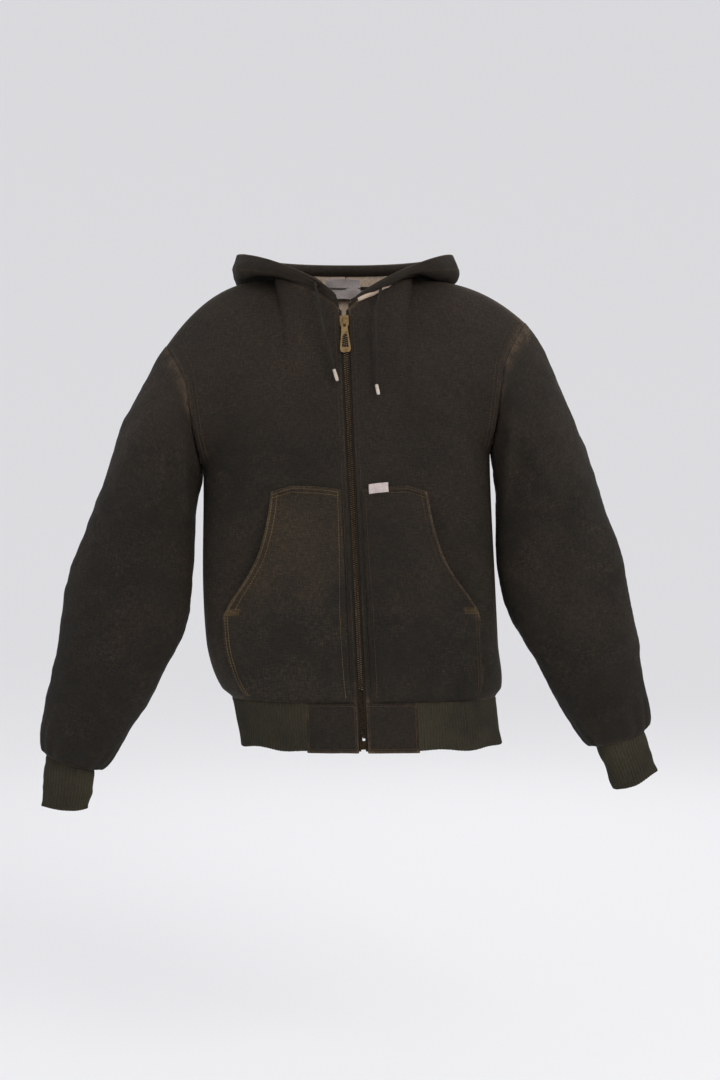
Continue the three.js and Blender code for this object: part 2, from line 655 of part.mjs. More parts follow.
function garment(group) {
  const inner = SHELL + GAP;
  for (const side of [1, -1]) {
    const at = name(side);
    const beside = FACING_WIDTH + 1.2;
    const lined = frontPanel(side, beside, ACROSS.slice(3), LINED.slice(0, -1), inner, inner + LINING);
    group.add(mesh(`front_${at}`, frontPanel(side, ZIP_OPEN, ACROSS, UPWARD, 0, SHELL), 'duck'));
    group.add(mesh(`lining_front_${at}`, lined, 'lining'));
    group.add(mesh(`sleeve_${at}`, sleeve(side, 0, SHELL, DOWN), 'duck'));
    group.add(mesh(`lining_sleeve_${at}`, sleeve(side, inner, inner + LINING, DOWN), 'lining'));
    group.add(mesh(`cuff_${at}`, cuff(side), 'rib'));
    group.add(mesh(`pocket_${at}`, pocket(side), 'duck'));
    group.add(mesh(`waist_tab_${at}`, waistTab(side), 'duck'));
    group.add(mesh(`hood_${at}`, hoodHalf(side), 'duck'));
    group.add(mesh(`hood_lining_${at}`, hoodLining(side), 'lining'));
    const foot = -(BAND_HEIGHT - 15) / 530;
    const rows = [foot, -0.0008, ...UPWARD.slice(1)];
    const tape = strip(side, TOOTH_OUT + 0.3, TAPE_WIDTH, inner, inner + 0.8, 2, rows);
    const behind = rows.slice(0, -1);
    const facing = strip(side, SLIDER_HALF + 2, FACING_WIDTH, inner + 1.2, inner + 2.4, 4, behind);
    group.add(mesh(`zip_tape_${at}`, tape, 'tape'));
    group.add(mesh(`facing_${at}`, facing, 'duck'));
  }
  group.add(mesh('back', backPanel(UPWARD, 0, SHELL), 'duck'));
  group.add(mesh('lining_back', backPanel(LINED, inner, inner + LINING), 'lining'));
  group.add(mesh('waistband_rib', waistRib(), 'rib'));
  group.add(mesh('hood_casing', casing(), 'duck'));
}

function zip(group) {
  for (const side of [1, -1]) {
    group.add(mesh(`zip_teeth_${name(side)}`, leaning(toothRow(side)), 'brass'));
    group.add(mesh(`zip_stop_${name(side)}`, leaning(topStop(side)), 'brass'));
  }
  group.add(mesh('zip_pin', leaning(pin()), 'brass'));
  group.add(mesh('zip_retainer', leaning(retainer()), 'brass'));
  group.add(mesh('zip_slider', leaning(slider()), 'brass'));
  group.add(mesh('pull_tab', leaning(pullTab()), 'brass'));
}

function trim(group) {
  group.add(mesh('drawcord', sweep(cordRoute(), CORD_R, 8), 'cord'));
  for (const side of [1, -1]) {
    group.add(mesh(`cord_tip_${name(side)}`, cordTip(side), 'tip'));
    group.add(mesh(`eyelet_${name(side)}`, eyelet(side), 'brass'));
  }
  group.add(mesh('neck_label', neckLabel(), 'label'));
  group.add(mesh('pocket_label', pocketLabel(), 'label'));
}

const jacket = new THREE.Group();
garment(jacket);
zip(jacket);
trim(jacket);

export default jacket;
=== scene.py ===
# %% [markdown]
# # A hooded work jacket
# The jacket hangs from its neck, zipped up, with its hood lying down behind. It is made of a few
# flat cloth panels. Each panel is a surface worked out with numpy from the same seam lines as the
# CAD model, so every piece falls in its place with no fitting. The CAD stays underneath as the frame.

# %% Load the frame
import bpy
import numpy as np
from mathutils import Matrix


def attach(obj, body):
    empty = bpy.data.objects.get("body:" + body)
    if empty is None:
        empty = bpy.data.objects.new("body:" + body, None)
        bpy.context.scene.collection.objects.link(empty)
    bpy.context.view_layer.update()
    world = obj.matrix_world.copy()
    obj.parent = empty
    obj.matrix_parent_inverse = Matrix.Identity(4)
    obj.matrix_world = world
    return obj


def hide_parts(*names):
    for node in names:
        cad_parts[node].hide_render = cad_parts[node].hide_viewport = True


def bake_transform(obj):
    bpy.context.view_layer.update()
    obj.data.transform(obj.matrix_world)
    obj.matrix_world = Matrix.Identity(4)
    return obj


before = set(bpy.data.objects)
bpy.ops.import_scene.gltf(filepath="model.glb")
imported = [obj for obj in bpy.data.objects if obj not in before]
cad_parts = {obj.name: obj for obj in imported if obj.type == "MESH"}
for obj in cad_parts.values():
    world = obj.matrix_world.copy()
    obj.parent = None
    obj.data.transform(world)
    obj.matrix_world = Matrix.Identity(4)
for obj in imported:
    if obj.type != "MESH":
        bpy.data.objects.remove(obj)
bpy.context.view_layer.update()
print("frame loaded:", len(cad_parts), "CAD nodes")

# %% [markdown]
# The camera comes first. It stands about two metres in front, level with the chest, with a normal
# lens, so the jacket keeps its natural proportions.

# %% Camera
CAMERA_PLANE = -0.045
CAMERA_DISTANCE = 2.1
CAMERA_SIDE = 0.0213
CAMERA_HEIGHT = -0.3948
FRAME_HEIGHT = 1.534


def make_camera():
    """A level camera whose long side covers FRAME_HEIGHT metres at the jacket's own plane."""
    data = bpy.data.cameras.new("camera")
    data.sensor_width = 36
    data.lens = 36 * CAMERA_DISTANCE / FRAME_HEIGHT
    camera = bpy.data.objects.new("camera", data)
    bpy.context.scene.collection.objects.link(camera)
    camera.location = (CAMERA_SIDE, CAMERA_PLANE - CAMERA_DISTANCE, CAMERA_HEIGHT)
    camera.rotation_euler = (np.pi / 2, 0, 0)
    bpy.context.scene.camera = camera
    return camera


camera = make_camera()
print("camera lens:", round(camera.data.lens, 1), "mm")

# %% [markdown]
# ## Cloth as a grid
# A panel is a grid of points. The cloth's thickness comes from a second grid, moved back along the
# surface normal, and a rounded edge closes the two. A sewn edge is folded, so it is never sharp.

# %% Grid helpers


def along(points, x):
    """A smooth curve through (position, value) rows: cubic Hermite, slopes from each row's neighbours."""
    p = np.array(points, float)
    last = len(p) - 1
    k = np.arange(len(p))
    before, after = p[np.maximum(k - 1, 0)], p[np.minimum(k + 1, last)]
    slope = (after[:, 1] - before[:, 1]) / (after[:, 0] - before[:, 0])
    x = np.clip(x, p[0, 0], p[-1, 0])
    i = np.clip(np.searchsorted(p[:, 0], x, side="right") - 1, 0, last - 1)
    h = p[i + 1, 0] - p[i, 0]
    t = (x - p[i, 0]) / h
    value = p[i, 1] * (2 * t**3 - 3 * t**2 + 1) + p[i + 1, 1] * (3 * t**2 - 2 * t**3)
    return value + h * (slope[i] * (t**3 - 2 * t**2 + t) + slope[i + 1] * (t**3 - t**2))


def smooth(low, high, x):
    """0 below low, 1 above high and a soft step between them; works either way round."""
    t = np.clip((x - low) / (high - low), 0, 1)
    return t * t * (3 - 2 * t)


def mix(a, b, t):
    """A straight blend from a to b."""
    return a + (b - a) * t


def point(x, y, z):
    """Stacks three arrays of any matching shapes into points."""
    return np.stack(np.broadcast_arrays(x, y, z), axis=-1).astype(float)


def unit(v):
    """Vectors scaled to length one."""
    return v / np.maximum(np.linalg.norm(v, axis=-1, keepdims=True), 1e-9)


def normals(P, sign, loop=False):
    """Outward unit normals of a grid: the cross product of its two directions, times sign."""
    du = np.roll(P, -1, 0) - np.roll(P, 1, 0) if loop else np.gradient(P, axis=0)
    return sign * unit(np.cross(du, np.gradient(P, axis=1)))


print("grid helpers ready")

# %% [markdown]
# Blender stores a mesh as one long list of numbers for each thing it knows. Filling those lists at
# once is much faster than adding points one by one. Noise and folds are plain sums of waves and bells.

# %% Mesh helpers


def put_mesh(name, verts, quads, uv=None, **values):
    """Puts points in mm and four-cornered faces into a mesh object, turned outwards by its volume."""
    a, b, c, d = (verts[quads[:, k]] for k in range(4))
    volume = np.einsum("ij,ij->", a, np.cross(b, c)) + np.einsum("ij,ij->", a, np.cross(c, d))
    if volume < 0:
        quads = quads[:, ::-1]
    mesh = bpy.data.meshes.new(name)
    mesh.vertices.add(len(verts))
    mesh.vertices.foreach_set("co", (verts / 1000).astype(np.float32).ravel())
    mesh.loops.add(quads.size)
    mesh.loops.foreach_set("vertex_index", quads.astype(np.int32).ravel())
    mesh.polygons.add(len(quads))
    mesh.polygons.foreach_set("loop_start", np.arange(len(quads), dtype=np.int32) * 4)
    mesh.polygons.foreach_set("use_smooth", np.ones(len(quads), bool))
    if uv is not None:
        layer = mesh.uv_layers.new(name="cloth")
        layer.data.foreach_set("uv", (uv[quads.ravel()] / 1000).astype(np.float32).ravel())
    for key, value in values.items():
        store = mesh.attributes.new(key, "FLOAT", "POINT")
        store.data.foreach_set("value", value.astype(np.float32).ravel())
    mesh.update(calc_edges=True)
    piece = bpy.data.objects.new(name, mesh)
    bpy.context.scene.collection.objects.link(piece)
    return piece


def rings_of(nu, nv, loop):
    """The edges of a grid as closed walks of index pairs, with the pair just inside each."""
    i, j = np.arange(nu), np.arange(nv)
    if loop:
        low = [i, i * 0, i, i * 0 + 1]
        high = [i[::-1], i * 0 + nv - 1, i[::-1], i * 0 + nv - 2]
        return [low, high]
    walk_i = np.concatenate([i[:-1], j[:-1] * 0 + nu - 1, i[:0:-1], j[:0:-1] * 0])
    walk_j = np.concatenate([i[:-1] * 0, j[:-1], i[:0:-1] * 0 + nv - 1, j[:0:-1]])
    return [[walk_i, walk_j, np.clip(walk_i, 1, nu - 2), np.clip(walk_j, 1, nv - 2)]]


def shell(name, P, sign, thick, lift=0.0, loop=False, uv=None, **values):
    """A cloth of real thickness: outer grid = P + normal * lift, inner grid = outer - normal * thick."""
    nu, nv = P.shape[:2]
    out = normals(P, sign, loop)
    outer = P + out * np.asarray(lift, float).reshape(np.shape(lift) + (1,) * bool(np.shape(lift)))
    inner = outer - out * thick
    n = nu * nv
    index = np.arange(n).reshape(nu, nv)
    right = np.roll(index, -1, 0)[: nu if loop else nu - 1]
    left = index[: nu if loop else nu - 1]
    face = np.stack([left[:, :-1], right[:, :-1], right[:, 1:], left[:, 1:]], -1).reshape(-1, 4)
    verts, quads, source = [outer.reshape(-1, 3), inner.reshape(-1, 3)], [face, face[:, ::-1] + n], []
    base = 2 * n
    for wi, wj, ii, ij in rings_of(nu, nv, loop):
        edge = unit(outer[wi, wj] - outer[ii, ij])
        verts.append((outer[wi, wj] + inner[wi, wj]) / 2 + edge * thick * 0.45)
        k = index[wi, wj]
        m = base + np.arange(len(k))
        k2, m2 = np.roll(k, -1), np.roll(m, -1)
        quads += [np.stack([k2, k, m, m2], -1), np.stack([m2, m, k + n, k2 + n], -1)]
        source.append(k)
        base += len(k)
    pick = np.concatenate([np.arange(n), np.arange(n), *source])
    flat = None if uv is None else uv.reshape(-1, 2)[pick]
    extra = {k: np.broadcast_to(v, (nu, nv)).ravel()[pick] for k, v in values.items()}
    return put_mesh(name, np.concatenate(verts), np.concatenate(quads), flat, **extra)


def grid(u, v):
    """Two parameter rows as a pair of grids."""
    return np.meshgrid(u, v, indexing="ij")


def ripple(x, z, length, seed, parts=9):
    """Seeded soft noise from about -1 to 1: a sum of waves near one length, each in its own direction."""
    rng = np.random.default_rng(seed)
    total = 0.0
    for _ in range(parts):
        turn, phase, size = rng.uniform(0, 2 * np.pi, 2).tolist() + [rng.uniform(0.75, 1.4)]
        k = 2 * np.pi / (length * size)
        total = total + np.cos(k * (x * np.cos(turn) + z * np.sin(turn)) + phase)
    return total / np.sqrt(parts * 1.6)


def fold(x, z, line, width, height):
    """A soft ridge along a straight line (x0, z0, x1, z1): a bell across it that fades at both ends."""
    x0, z0, x1, z1 = line
    dx, dz = x1 - x0, z1 - z0
    long = np.hypot(dx, dz)
    t = ((x - x0) * dx + (z - z0) * dz) / long**2
    across = ((x - x0) * dz - (z - z0) * dx) / long
    ends = smooth(-0.15, 0.25, t) * smooth(1.15, 0.75, t)
    return height * np.exp(-((across / width) ** 2)) * ends


print("mesh helpers ready")

# %% [markdown]
# ## The body's seam lines
# Body, pockets, zip tapes and waistband all lie on one surface. It is described once, by how far out
# a point is between the zip and the side seam, and how high it is between waist and shoulder.

# %% Body surface
WAIST_Z, BAND_HEIGHT, SHOULDER_HALF = -622, 66, 260
NECK_HALF, NECK_FRONT_Z, NECK_SIDE_Z, NECK_BACK_DEPTH, FRONT_DEPTH = 100, -82, -18, 84, 90
ARMHOLE_V, ARMHOLE_DEPTH, BODY_POWER, SEAM = 0.645, 62, 2.4, 0.2
DROP = {1: 62, -1: 96}
BODY_HALF = [[-0.13, 188], [0, 190], [0.03, 203], [0.1, 210], [0.3, 212], [0.645, 208],
             [0.72, 214], [0.82, 220], [0.89, 227], [0.945, 242], [1, 260]]
BACK_DEPTH = [[-0.13, 80], [0, 82], [0.04, 90], [0.4, 94], [0.8, 96], [1, 96]]
BODY_CENTRE = [[-690, 38], [-622, 27], [-540, 10], [-300, 2], [0, 0]]
ZIP_TOP_Z, ZIP_TOP_X, ZIP_LEAN, ZIP_LENGTH, ZIP_OPEN = -82, -1, 0.045, 606, 7
TOOTH_FRONT, TOOTH_BACK = -89.4, -85


def zip_x(z):
    """The zip's line leans a little to the wearer's left as it goes down."""
    return ZIP_TOP_X + ZIP_LEAN * (ZIP_TOP_Z - z)


def top_z(side, face, f):
    """The height of the neck and shoulder edge at share f of the shoulder width."""
    x = f * SHOULDER_HALF
    neck = mix(NECK_FRONT_Z, NECK_SIDE_Z, np.clip(x / NECK_HALF, 0, 1) ** 0.7)
    neck = np.where(np.asarray(face) < 0, neck, NECK_SIDE_Z)
    t = np.clip((x - NECK_HALF) / (SHOULDER_HALF - NECK_HALF), 0, None)
    return np.where(x < NECK_HALF, neck, NECK_SIDE_Z - np.where(side > 0, DROP[1], DROP[-1]) * t**2.4)


def body_z(side, face, f, v):
    """Height from the waist seam (v = 0) to the shoulder edge (v = 1); below 0 it is the waistband."""
    return np.where(v < 0, WAIST_Z + v * 530, mix(WAIST_Z, top_z(side, face, f), v))


def half_width(side, z, v):
    """From the zip to the side seam."""
    return along(BODY_HALF, v) + side * (along(BODY_CENTRE, z) - zip_x(z))


def drape(side, face, f, v, x, z):
    """How far the cloth stands off its plain shape: listed folds, soft noise and gathers."""
    front = np.asarray(face) < 0
    seed = np.where(front, 0.0, 700.0)
    push = 2.4 * ripple(x + seed, z, 210, 3) + 1.0 * ripple(x + seed, z, 74, 4)
    push = push + 0.42 * ripple(x + seed, z, 30, 5) + 0.16 * ripple(x + seed, z, 13, 6)
    hand = sum(fold(x, z, line, w, h) for line, w, h in FRONT_FOLDS)
    rear = sum(fold(x, z, line, w, h) for line, w, h in BACK_FOLDS)
    push = push + np.where(front, hand, rear)
    roll = smooth(0.10, 0.035, v) * smooth(-0.004, 0.022, v)
    gather = np.sin(x / 6.1 + 1.7 * np.sin(x / 37)) * (1 + 0.5 * np.sin(x / 23 + 1))
    push = push + roll * (5.0 + 1.3 * gather) - 1.2 * smooth(0.012, 0.0, v) * (v >= 0)
    beside_zip = smooth(10, 46, np.abs(x - zip_x(z)))
    beside_zip = np.where(front, beside_zip, 1.0)
    quiet = smooth(1.0, 0.80, f) * smooth(0.995, 0.90, v) * mix(0.12, 1, beside_zip)
    return push * np.where(v < 0, 0.0, quiet)


def body(side, face, f, v, hang=True):
    """One point of the body. face is -1 front, +1 back. Its depth runs from full in the middle to none
    at the side seam, as |y| = depth * (1 - f ** 2.4) ** (1 / 2.4), with room for the arm and the neck."""
    side, face, f, v = np.broadcast_arrays(*(np.asarray(q, float) for q in (side, face, f, v)))
    z = body_z(side, face, f, v)
    x = zip_x(z) + side * f * half_width(side, z, v)
    close = np.where(v < 0.62, 1, np.sqrt(np.maximum(0, 1 - ((v - 0.62) / 0.38) ** 2)))
    rise = np.clip((v - ARMHOLE_V) / (1 - ARMHOLE_V), 0, 1)
    arm = ARMHOLE_DEPTH * np.maximum(0, np.sin(np.pi * rise)) ** 0.8
    full = np.where(face < 0, FRONT_DEPTH, along(BACK_DEPTH, v))
    shape = np.maximum(0, 1 - f**BODY_POWER) ** (1 / BODY_POWER)
    ring = f * SHOULDER_HALF / NECK_HALF
    neck_depth = np.where(face < 0, FRONT_DEPTH, NECK_BACK_DEPTH)
    neck = np.where(ring < 1, neck_depth * np.sqrt(np.maximum(0, 1 - ring**2)), 0)
    depth = SEAM + arm + (full * close - arm) * shape + (1 - close) * neck
    if hang:
        depth = np.maximum(depth + drape(side, face, f, v, x, z), SEAM)
    return point(x, face * depth, z)


def body_at(side, face, distance, v):
    """The same surface, by the distance in mm from the zip."""
    z = body_z(side, face, distance / SHOULDER_HALF, v)
    return body(side, face, np.minimum(1, distance / half_width(side, z, v)), v)


FRONT_FOLDS = [
    ((-205, -330, -120, -250), 13, 6.0), ((-205, -300, -90, -190), 12, 4.5),
    ((-200, -345, -130, -345), 12, 4.0), ((206, -330, 130, -240), 14, 5.0),
    ((206, -300, 110, -180), 12, 3.5), ((-150, -300, -60, -322), 9, 3.0),
    ((-140, -318, -20, -330), 7, 2.2), ((150, -470, 200, -560), 15, 4.0),
    ((-190, -520, -150, -600), 14, 4.0), ((-60, -110, -110, -210), 16, 3.0),
    ((70, -110, 120, -230), 17, 3.0), ((-70, -590, -20, -520), 10, 3.0),
    ((60, -600, 30, -530), 10, 3.0), ((120, -600, 150, -540), 12, 3.0),
    ((-195, -420, -165, -500), 12, 3.0), ((190, -380, 175, -470), 12, 3.0),
    ((-18, -560, -10, -616), 8, 3.0),
]
BACK_FOLDS = [
    ((-200, -320, -90, -210), 16, 6.5), ((200, -320, 90, -210), 16, 6.0),
    ((-190, -360, -70, -300), 14, 4.5), ((195, -350, 80, -300), 14, 4.5),
    ((-120, -590, -60, -470), 16, 5.0), ((110, -590, 70, -480), 16, 4.5),
    ((0, -600, 10, -500), 14, 4.0), ((-60, -120, -40, -260), 20, 4.0), ((70, -120, 50, -250), 20, 4.0),
]
print("body width at the waist:", round(2 * float(along(BODY_HALF, 0.0))), "mm")

# %% [markdown]
# ## Finishes
# Every colour is written as the sRGB hex a painter would pick, and one function turns it to linear
# light. One small function adds a node, so each material below reads as a short recipe.

# %% Material helpers


def linear(code, alpha=1.0):
    """An sRGB hex colour as linear light: c / 12.92 below 0.04045, else ((c + 0.055) / 1.055) ** 2.4."""
    c = np.array([int(code[k:k + 2], 16) for k in (0, 2, 4)]) / 255
    c = np.where(c <= 0.04045, c / 12.92, ((c + 0.055) / 1.055) ** 2.4)
    return (*c.tolist(), alpha)


def add(tree, kind, values=(), links=()):
    """Adds one node. values sets its properties or sockets by name or number; links wires sockets in."""
    node = tree.nodes.new("ShaderNode" + kind)
    for key, value in dict(values).items():
        if isinstance(key, str) and hasattr(node, key):
            setattr(node, key, value)
        else:
            node.inputs[key].default_value = value
    for key, socket in dict(links).items():
        tree.links.new(socket, node.inputs[key])
    return node


def material(name):
    """A new material with only its output, and its tree."""
    made = bpy.data.materials.new(name)
    made.use_nodes = True
    made.node_tree.nodes.clear()
    return made, made.node_tree


def blend_colour(tree, share, first, second, mode="MIX"):
    """Mixes two colours, each a hex code or a socket, by a socket or a number; gives the colour socket."""
    node = add(tree, "Mix", {"data_type": "RGBA", "blend_type": mode})
    for key, value in ((0, share), (6, first), (7, second)):
        if isinstance(value, str):
            node.inputs[key].default_value = linear(value)
        elif isinstance(value, (int, float)):
            node.inputs[key].default_value = value
        else:
            tree.links.new(value, node.inputs[key])
    return node.outputs[2]


def ramp(tree, socket, low, high):
    """Stretches a value so that low gives 0 and high gives 1."""
    node = add(tree, "MapRange", {"From Min": low, "From Max": high}, {"Value": socket})
    return node.outputs["Result"]


def close_up(tree, made, colour, bump, rough, sheen, tint, depth):
    """Joins colour and bump to one cloth shader and the output."""
    out = add(tree, "OutputMaterial")
    height = add(tree, "Bump", {"Strength": 1.0, "Distance": depth}, {"Height": bump})
    cloth = add(tree, "BsdfPrincipled", {"Roughness": rough, "Sheen Weight": sheen,
                "Sheen Roughness": 0.45, "Sheen Tint": linear(tint), "Specular IOR Level": 0.28},
                {"Base Color": colour, "Normal": height.outputs["Normal"]})
    tree.links.new(cloth.outputs[0], out.inputs[0])
    return made


print("material helpers ready")

# %% [markdown]
# Cotton duck is a tight plain weave of thick threads, here rubbed with wax until it is nearly black.
# Wax lies unevenly, so it goes from olive-brown to near black in clouds, and rubs off pale along the
# sewn edges. Its threads are about 0.6 mm apart; they are drawn at 1.5 mm so that the weave shows.

# %% Waxed cotton duck
DUCK_THREAD = 0.0015


def waxed_duck(name, light, dark, edge):
    """Clouds of wax over slubby threads; the 'wear' attribute pales edges, 'tone' lightens patches."""
    made, tree = material(name)
    uv = add(tree, "UVMap", {"uv_map": "cloth"}).outputs[0]
    place = add(tree, "TexCoord").outputs["Object"]
    cloud = add(tree, "TexNoise", {"Scale": 7.0, "Detail": 5.0, "Roughness": 0.62}, {"Vector": place})
    stain = add(tree, "TexNoise", {"Scale": 17.0, "Detail": 4.0, "Roughness": 0.6, "Distortion": 0.6},
                {"Vector": place})
    across = add(tree, "Mapping", {"Scale": (1.0, 5.5, 1.0)}, {"Vector": uv})
    down = add(tree, "Mapping", {"Scale": (5.5, 1.0, 1.0)}, {"Vector": uv})
    weft = add(tree, "TexNoise", {"Scale": 105.0, "Detail": 3.0}, {"Vector": across.outputs[0]})
    warp = add(tree, "TexNoise", {"Scale": 105.0, "Detail": 3.0}, {"Vector": down.outputs[0]})
    threads = add(tree, "Math", {"operation": "ADD"}, {0: weft.outputs[0], 1: warp.outputs[0]})
    heather = ramp(tree, threads.outputs[0], 0.82, 1.22)
    tone = add(tree, "Attribute", {"attribute_name": "tone"}).outputs["Fac"]
    wear = add(tree, "Attribute", {"attribute_name": "wear"}).outputs["Fac"]
    patch = add(tree, "Math", {"operation": "MULTIPLY_ADD", 1: 0.55},
                {0: ramp(tree, cloud.outputs[0], 0.36, 0.66), 2: tone})
    colour = blend_colour(tree, patch.outputs[0], dark, light)
    rubbed = add(tree, "Math", {"operation": "MULTIPLY"},
                 {0: ramp(tree, stain.outputs[0], 0.45, 0.75), 1: ramp(tree, heather, 0.2, 1.0)})
    colour = blend_colour(tree, rubbed.outputs[0], colour, light)
    spot = add(tree, "Math", {"operation": "MULTIPLY"},
               {0: wear, 1: ramp(tree, stain.outputs[0], 0.30, 0.62)})
    colour = blend_colour(tree, spot.outputs[0], colour, edge)
    grain = add(tree, "TexNoise", {"Scale": 420.0, "Detail": 2.0}, {"Vector": uv})
    shade = add(tree, "MapRange", {"From Min": 0.25, "From Max": 0.75, "To Min": 0.45, "To Max": 1.55},
                {"Value": grain.outputs[0]})
    both = add(tree, "Math", {"operation": "MULTIPLY_ADD", 1: 0.9, 2: 0.1}, {0: shade.outputs[0]})
    strength = add(tree, "MapRange", {"To Min": 0.62, "To Max": 1.38}, {"Value": heather})
    factor = add(tree, "Math", {"operation": "MULTIPLY"}, {0: both.outputs[0], 1: strength.outputs[0]})
    grey = add(tree, "CombineColor", {}, {k: factor.outputs[0] for k in (0, 1, 2)})
    colour = blend_colour(tree, 1.0, colour, grey.outputs[0], "MULTIPLY")
    waves = [add(tree, "TexWave", {"bands_direction": way, "Scale": 0.5 / DUCK_THREAD,
             "Distortion": 0.6, "Detail": 1.0}, {"Vector": uv}).outputs["Fac"] for way in ("X", "Y")]
    weave = add(tree, "Math", {"operation": "MULTIPLY"}, {0: waves[0], 1: waves[1]})
    crumple = add(tree, "TexNoise", {"Scale": 60.0, "Detail": 6.0, "Roughness": 0.7}, {"Vector": place})
    soft = add(tree, "Math", {"operation": "MULTIPLY_ADD", 1: 2.2},
               {0: crumple.outputs[0], 2: weave.outputs[0]})
    return close_up(tree, made, colour, soft.outputs[0], 0.78, 0.05, "6A5D4A", 0.0007)


duck = waxed_duck("waxed_cotton_duck", "2E241A", "181309", "5A4A38")
pocket_duck = waxed_duck("waxed_cotton_duck_rubbed", "352B1D", "1C170F", "5E4E39")
print("made", duck.name, "and", pocket_duck.name)

# %% [markdown]
# The lining is a brushed thermal knit in pale beige. Its nap scatters light at grazing angles, which
# a soft sheen gives. The cuffs and waistband are rib knit: the ribs are real geometry, and the yarn's
# fuzz is noise. The same recipe serves both, with its own colours.

# %% Knits and trims


def knit(name, light, dark, stitch, depth, sheen, tint):
    """Soft yarn: fine stitches in the cloth's own map, with clouds of wear over them."""
    made, tree = material(name)
    uv = add(tree, "UVMap", {"uv_map": "cloth"}).outputs[0]
    place = add(tree, "TexCoord").outputs["Object"]
    cloud = add(tree, "TexNoise", {"Scale": 14.0, "Detail": 5.0, "Roughness": 0.6}, {"Vector": place})
    fuzz = add(tree, "TexNoise", {"Scale": 0.45 / stitch, "Detail": 4.0, "Roughness": 0.7}, {"Vector": uv})
    colour = blend_colour(tree, ramp(tree, cloud.outputs[0], 0.33, 0.68), dark, light)
    shade = add(tree, "MapRange", {"From Min": 0.3, "From Max": 0.7, "To Min": 0.72, "To Max": 1.28},
                {"Value": fuzz.outputs[0]})
    grey = add(tree, "CombineColor", {}, {k: shade.outputs[0] for k in (0, 1, 2)})
    colour = blend_colour(tree, 1.0, colour, grey.outputs[0], "MULTIPLY")
    loops = add(tree, "TexWave", {"bands_direction": "Y", "Scale": 0.5 / stitch, "Distortion": 1.5,
                "Detail": 2.0}, {"Vector": uv})
    bump = add(tree, "Math", {"operation": "MULTIPLY_ADD", 1: 0.6}, {0: loops.outputs["Fac"],
               2: fuzz.outputs[0]})
    return close_up(tree, made, colour, bump.outputs[0], 0.92, sheen, tint, depth)


rib_knit = knit("rib_knit_olive", "342F22", "211E16", 0.0018, 0.0006, 0.25, "7D7A58")
lining = knit("brushed_thermal_lining", "BDAA98", "9A8877", 0.0020, 0.0004, 0.35, "F2E6DA")
# The zip tape's near-black colour is partly its own dark yarn and partly painted shade of the narrow gap
# between the fronts.
tape_weave = knit("woven_zip_tape", "29241D", "1B1814", 0.0010, 0.0002, 0.1, "5A5048")
cord_braid = knit("braided_cotton_cord", "2E2820", "1A1714", 0.0012, 0.0003, 0.15, "6A5E4C")
label_cloth = knit("woven_label_grey", "9A9290", "7A7370", 0.0010, 0.0002, 0.15, "D8D0CC")
pocket_tag = knit("woven_tag_pale", "C4B6B2", "A39692", 0.0010, 0.0002, 0.15, "E8E0DC")
thread = knit("sewing_thread_brown", "4A3C2A", "2C251C", 0.0008, 0.0001, 0.1, "6A5E4C")
pale_thread = knit("sewing_thread_tan", "6E5A3C", "4A3C28", 0.0008, 0.0001, 0.1, "8A7A5C")
tip_plastic = knit("moulded_tip_cream", "D2CABC", "A89E8E", 0.0015, 0.00005, 0.0, "FFFFFF")
print("knits and trims made")


def aged_brass(name, colour, dull, rough):
    """Cast brass, tumbled and handled: a metal whose polish is broken by brown tarnish in the hollows."""
    made, tree = material(name)
    place = add(tree, "TexCoord").outputs["Object"]
    patina = add(tree, "TexNoise", {"Scale": 260.0, "Detail": 5.0, "Roughness": 0.7}, {"Vector": place})
    scratch = add(tree, "Mapping", {"Scale": (900.0, 900.0, 60.0)}, {"Vector": place})
    lines = add(tree, "TexNoise", {"Scale": 1.0, "Detail": 2.0}, {"Vector": scratch.outputs[0]})
    share = ramp(tree, patina.outputs[0], 0.40, 0.72)
    tint = blend_colour(tree, share, colour, dull)
    gloss = add(tree, "MapRange", {"To Min": rough, "To Max": rough + 0.25}, {"Value": share})
    out = add(tree, "OutputMaterial")
    bump = add(tree, "Bump", {"Strength": 0.4, "Distance": 0.0001}, {"Height": lines.outputs[0]})
    metal = add(tree, "BsdfPrincipled", {"Metallic": 1.0},
                {"Base Color": tint, "Roughness": gloss.outputs[0], "Normal": bump.outputs["Normal"]})
    tree.links.new(metal.outputs[0], out.inputs[0])
    return made


puller_brass = aged_brass("cast_brass_handled", "8C7450", "5A4830", 0.4)
# The teeth's brass is nearly black: partly its tarnish, partly painted shade of the narrow gap between the
# fronts where the teeth sit. The zip's pin, retainer, stops and the eyelets share this darkened brass.
tooth_brass = aged_brass("stamped_brass_tarnish_and_painted_shade", "3A3022", "1A1611", 0.5)
print("brass made")

# %% [markdown]
# ## Front and back
# Each front is one panel from the zip to the side seam. The CAD solid underneath is plain, so the
# panel that stands for it carries the folds. Edges that are sewn get a 'wear' value, because wax rubs
# off a seam first.

# %% Body panels


def edge_wear(f, v, side_edge=True):
    """Pale lines along the sewn edges: shares fade over a few mm from each edge."""
    wear = 0.55 * smooth(0.985, 1.0, v) + 0.3 * smooth(0.02, 0.004, v)
    return np.clip(wear + (0.4 * smooth(0.975, 1.0, f) if side_edge else 0), 0, 1)


def finish_piece(piece, look, body_name, *nodes, slot=None):
    """Gives a piece its material and body, and hides the CAD nodes it stands for."""
    piece.data.materials.append(look)
    if body_name:
        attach(piece, body_name)
    if nodes:
        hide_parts(*nodes)
    tris = sum(len(p.vertices) - 2 for p in piece.data.polygons)
    print(f"{piece.name}: {tris} triangles")
    return piece


def rows_up(n):
    """Heights from waist to shoulder, closer together at both ends."""
    t = np.linspace(0, 1, n)
    return 0.0008 + (0.9992 * (t - 0.11 * np.sin(2 * np.pi * t) / 2))


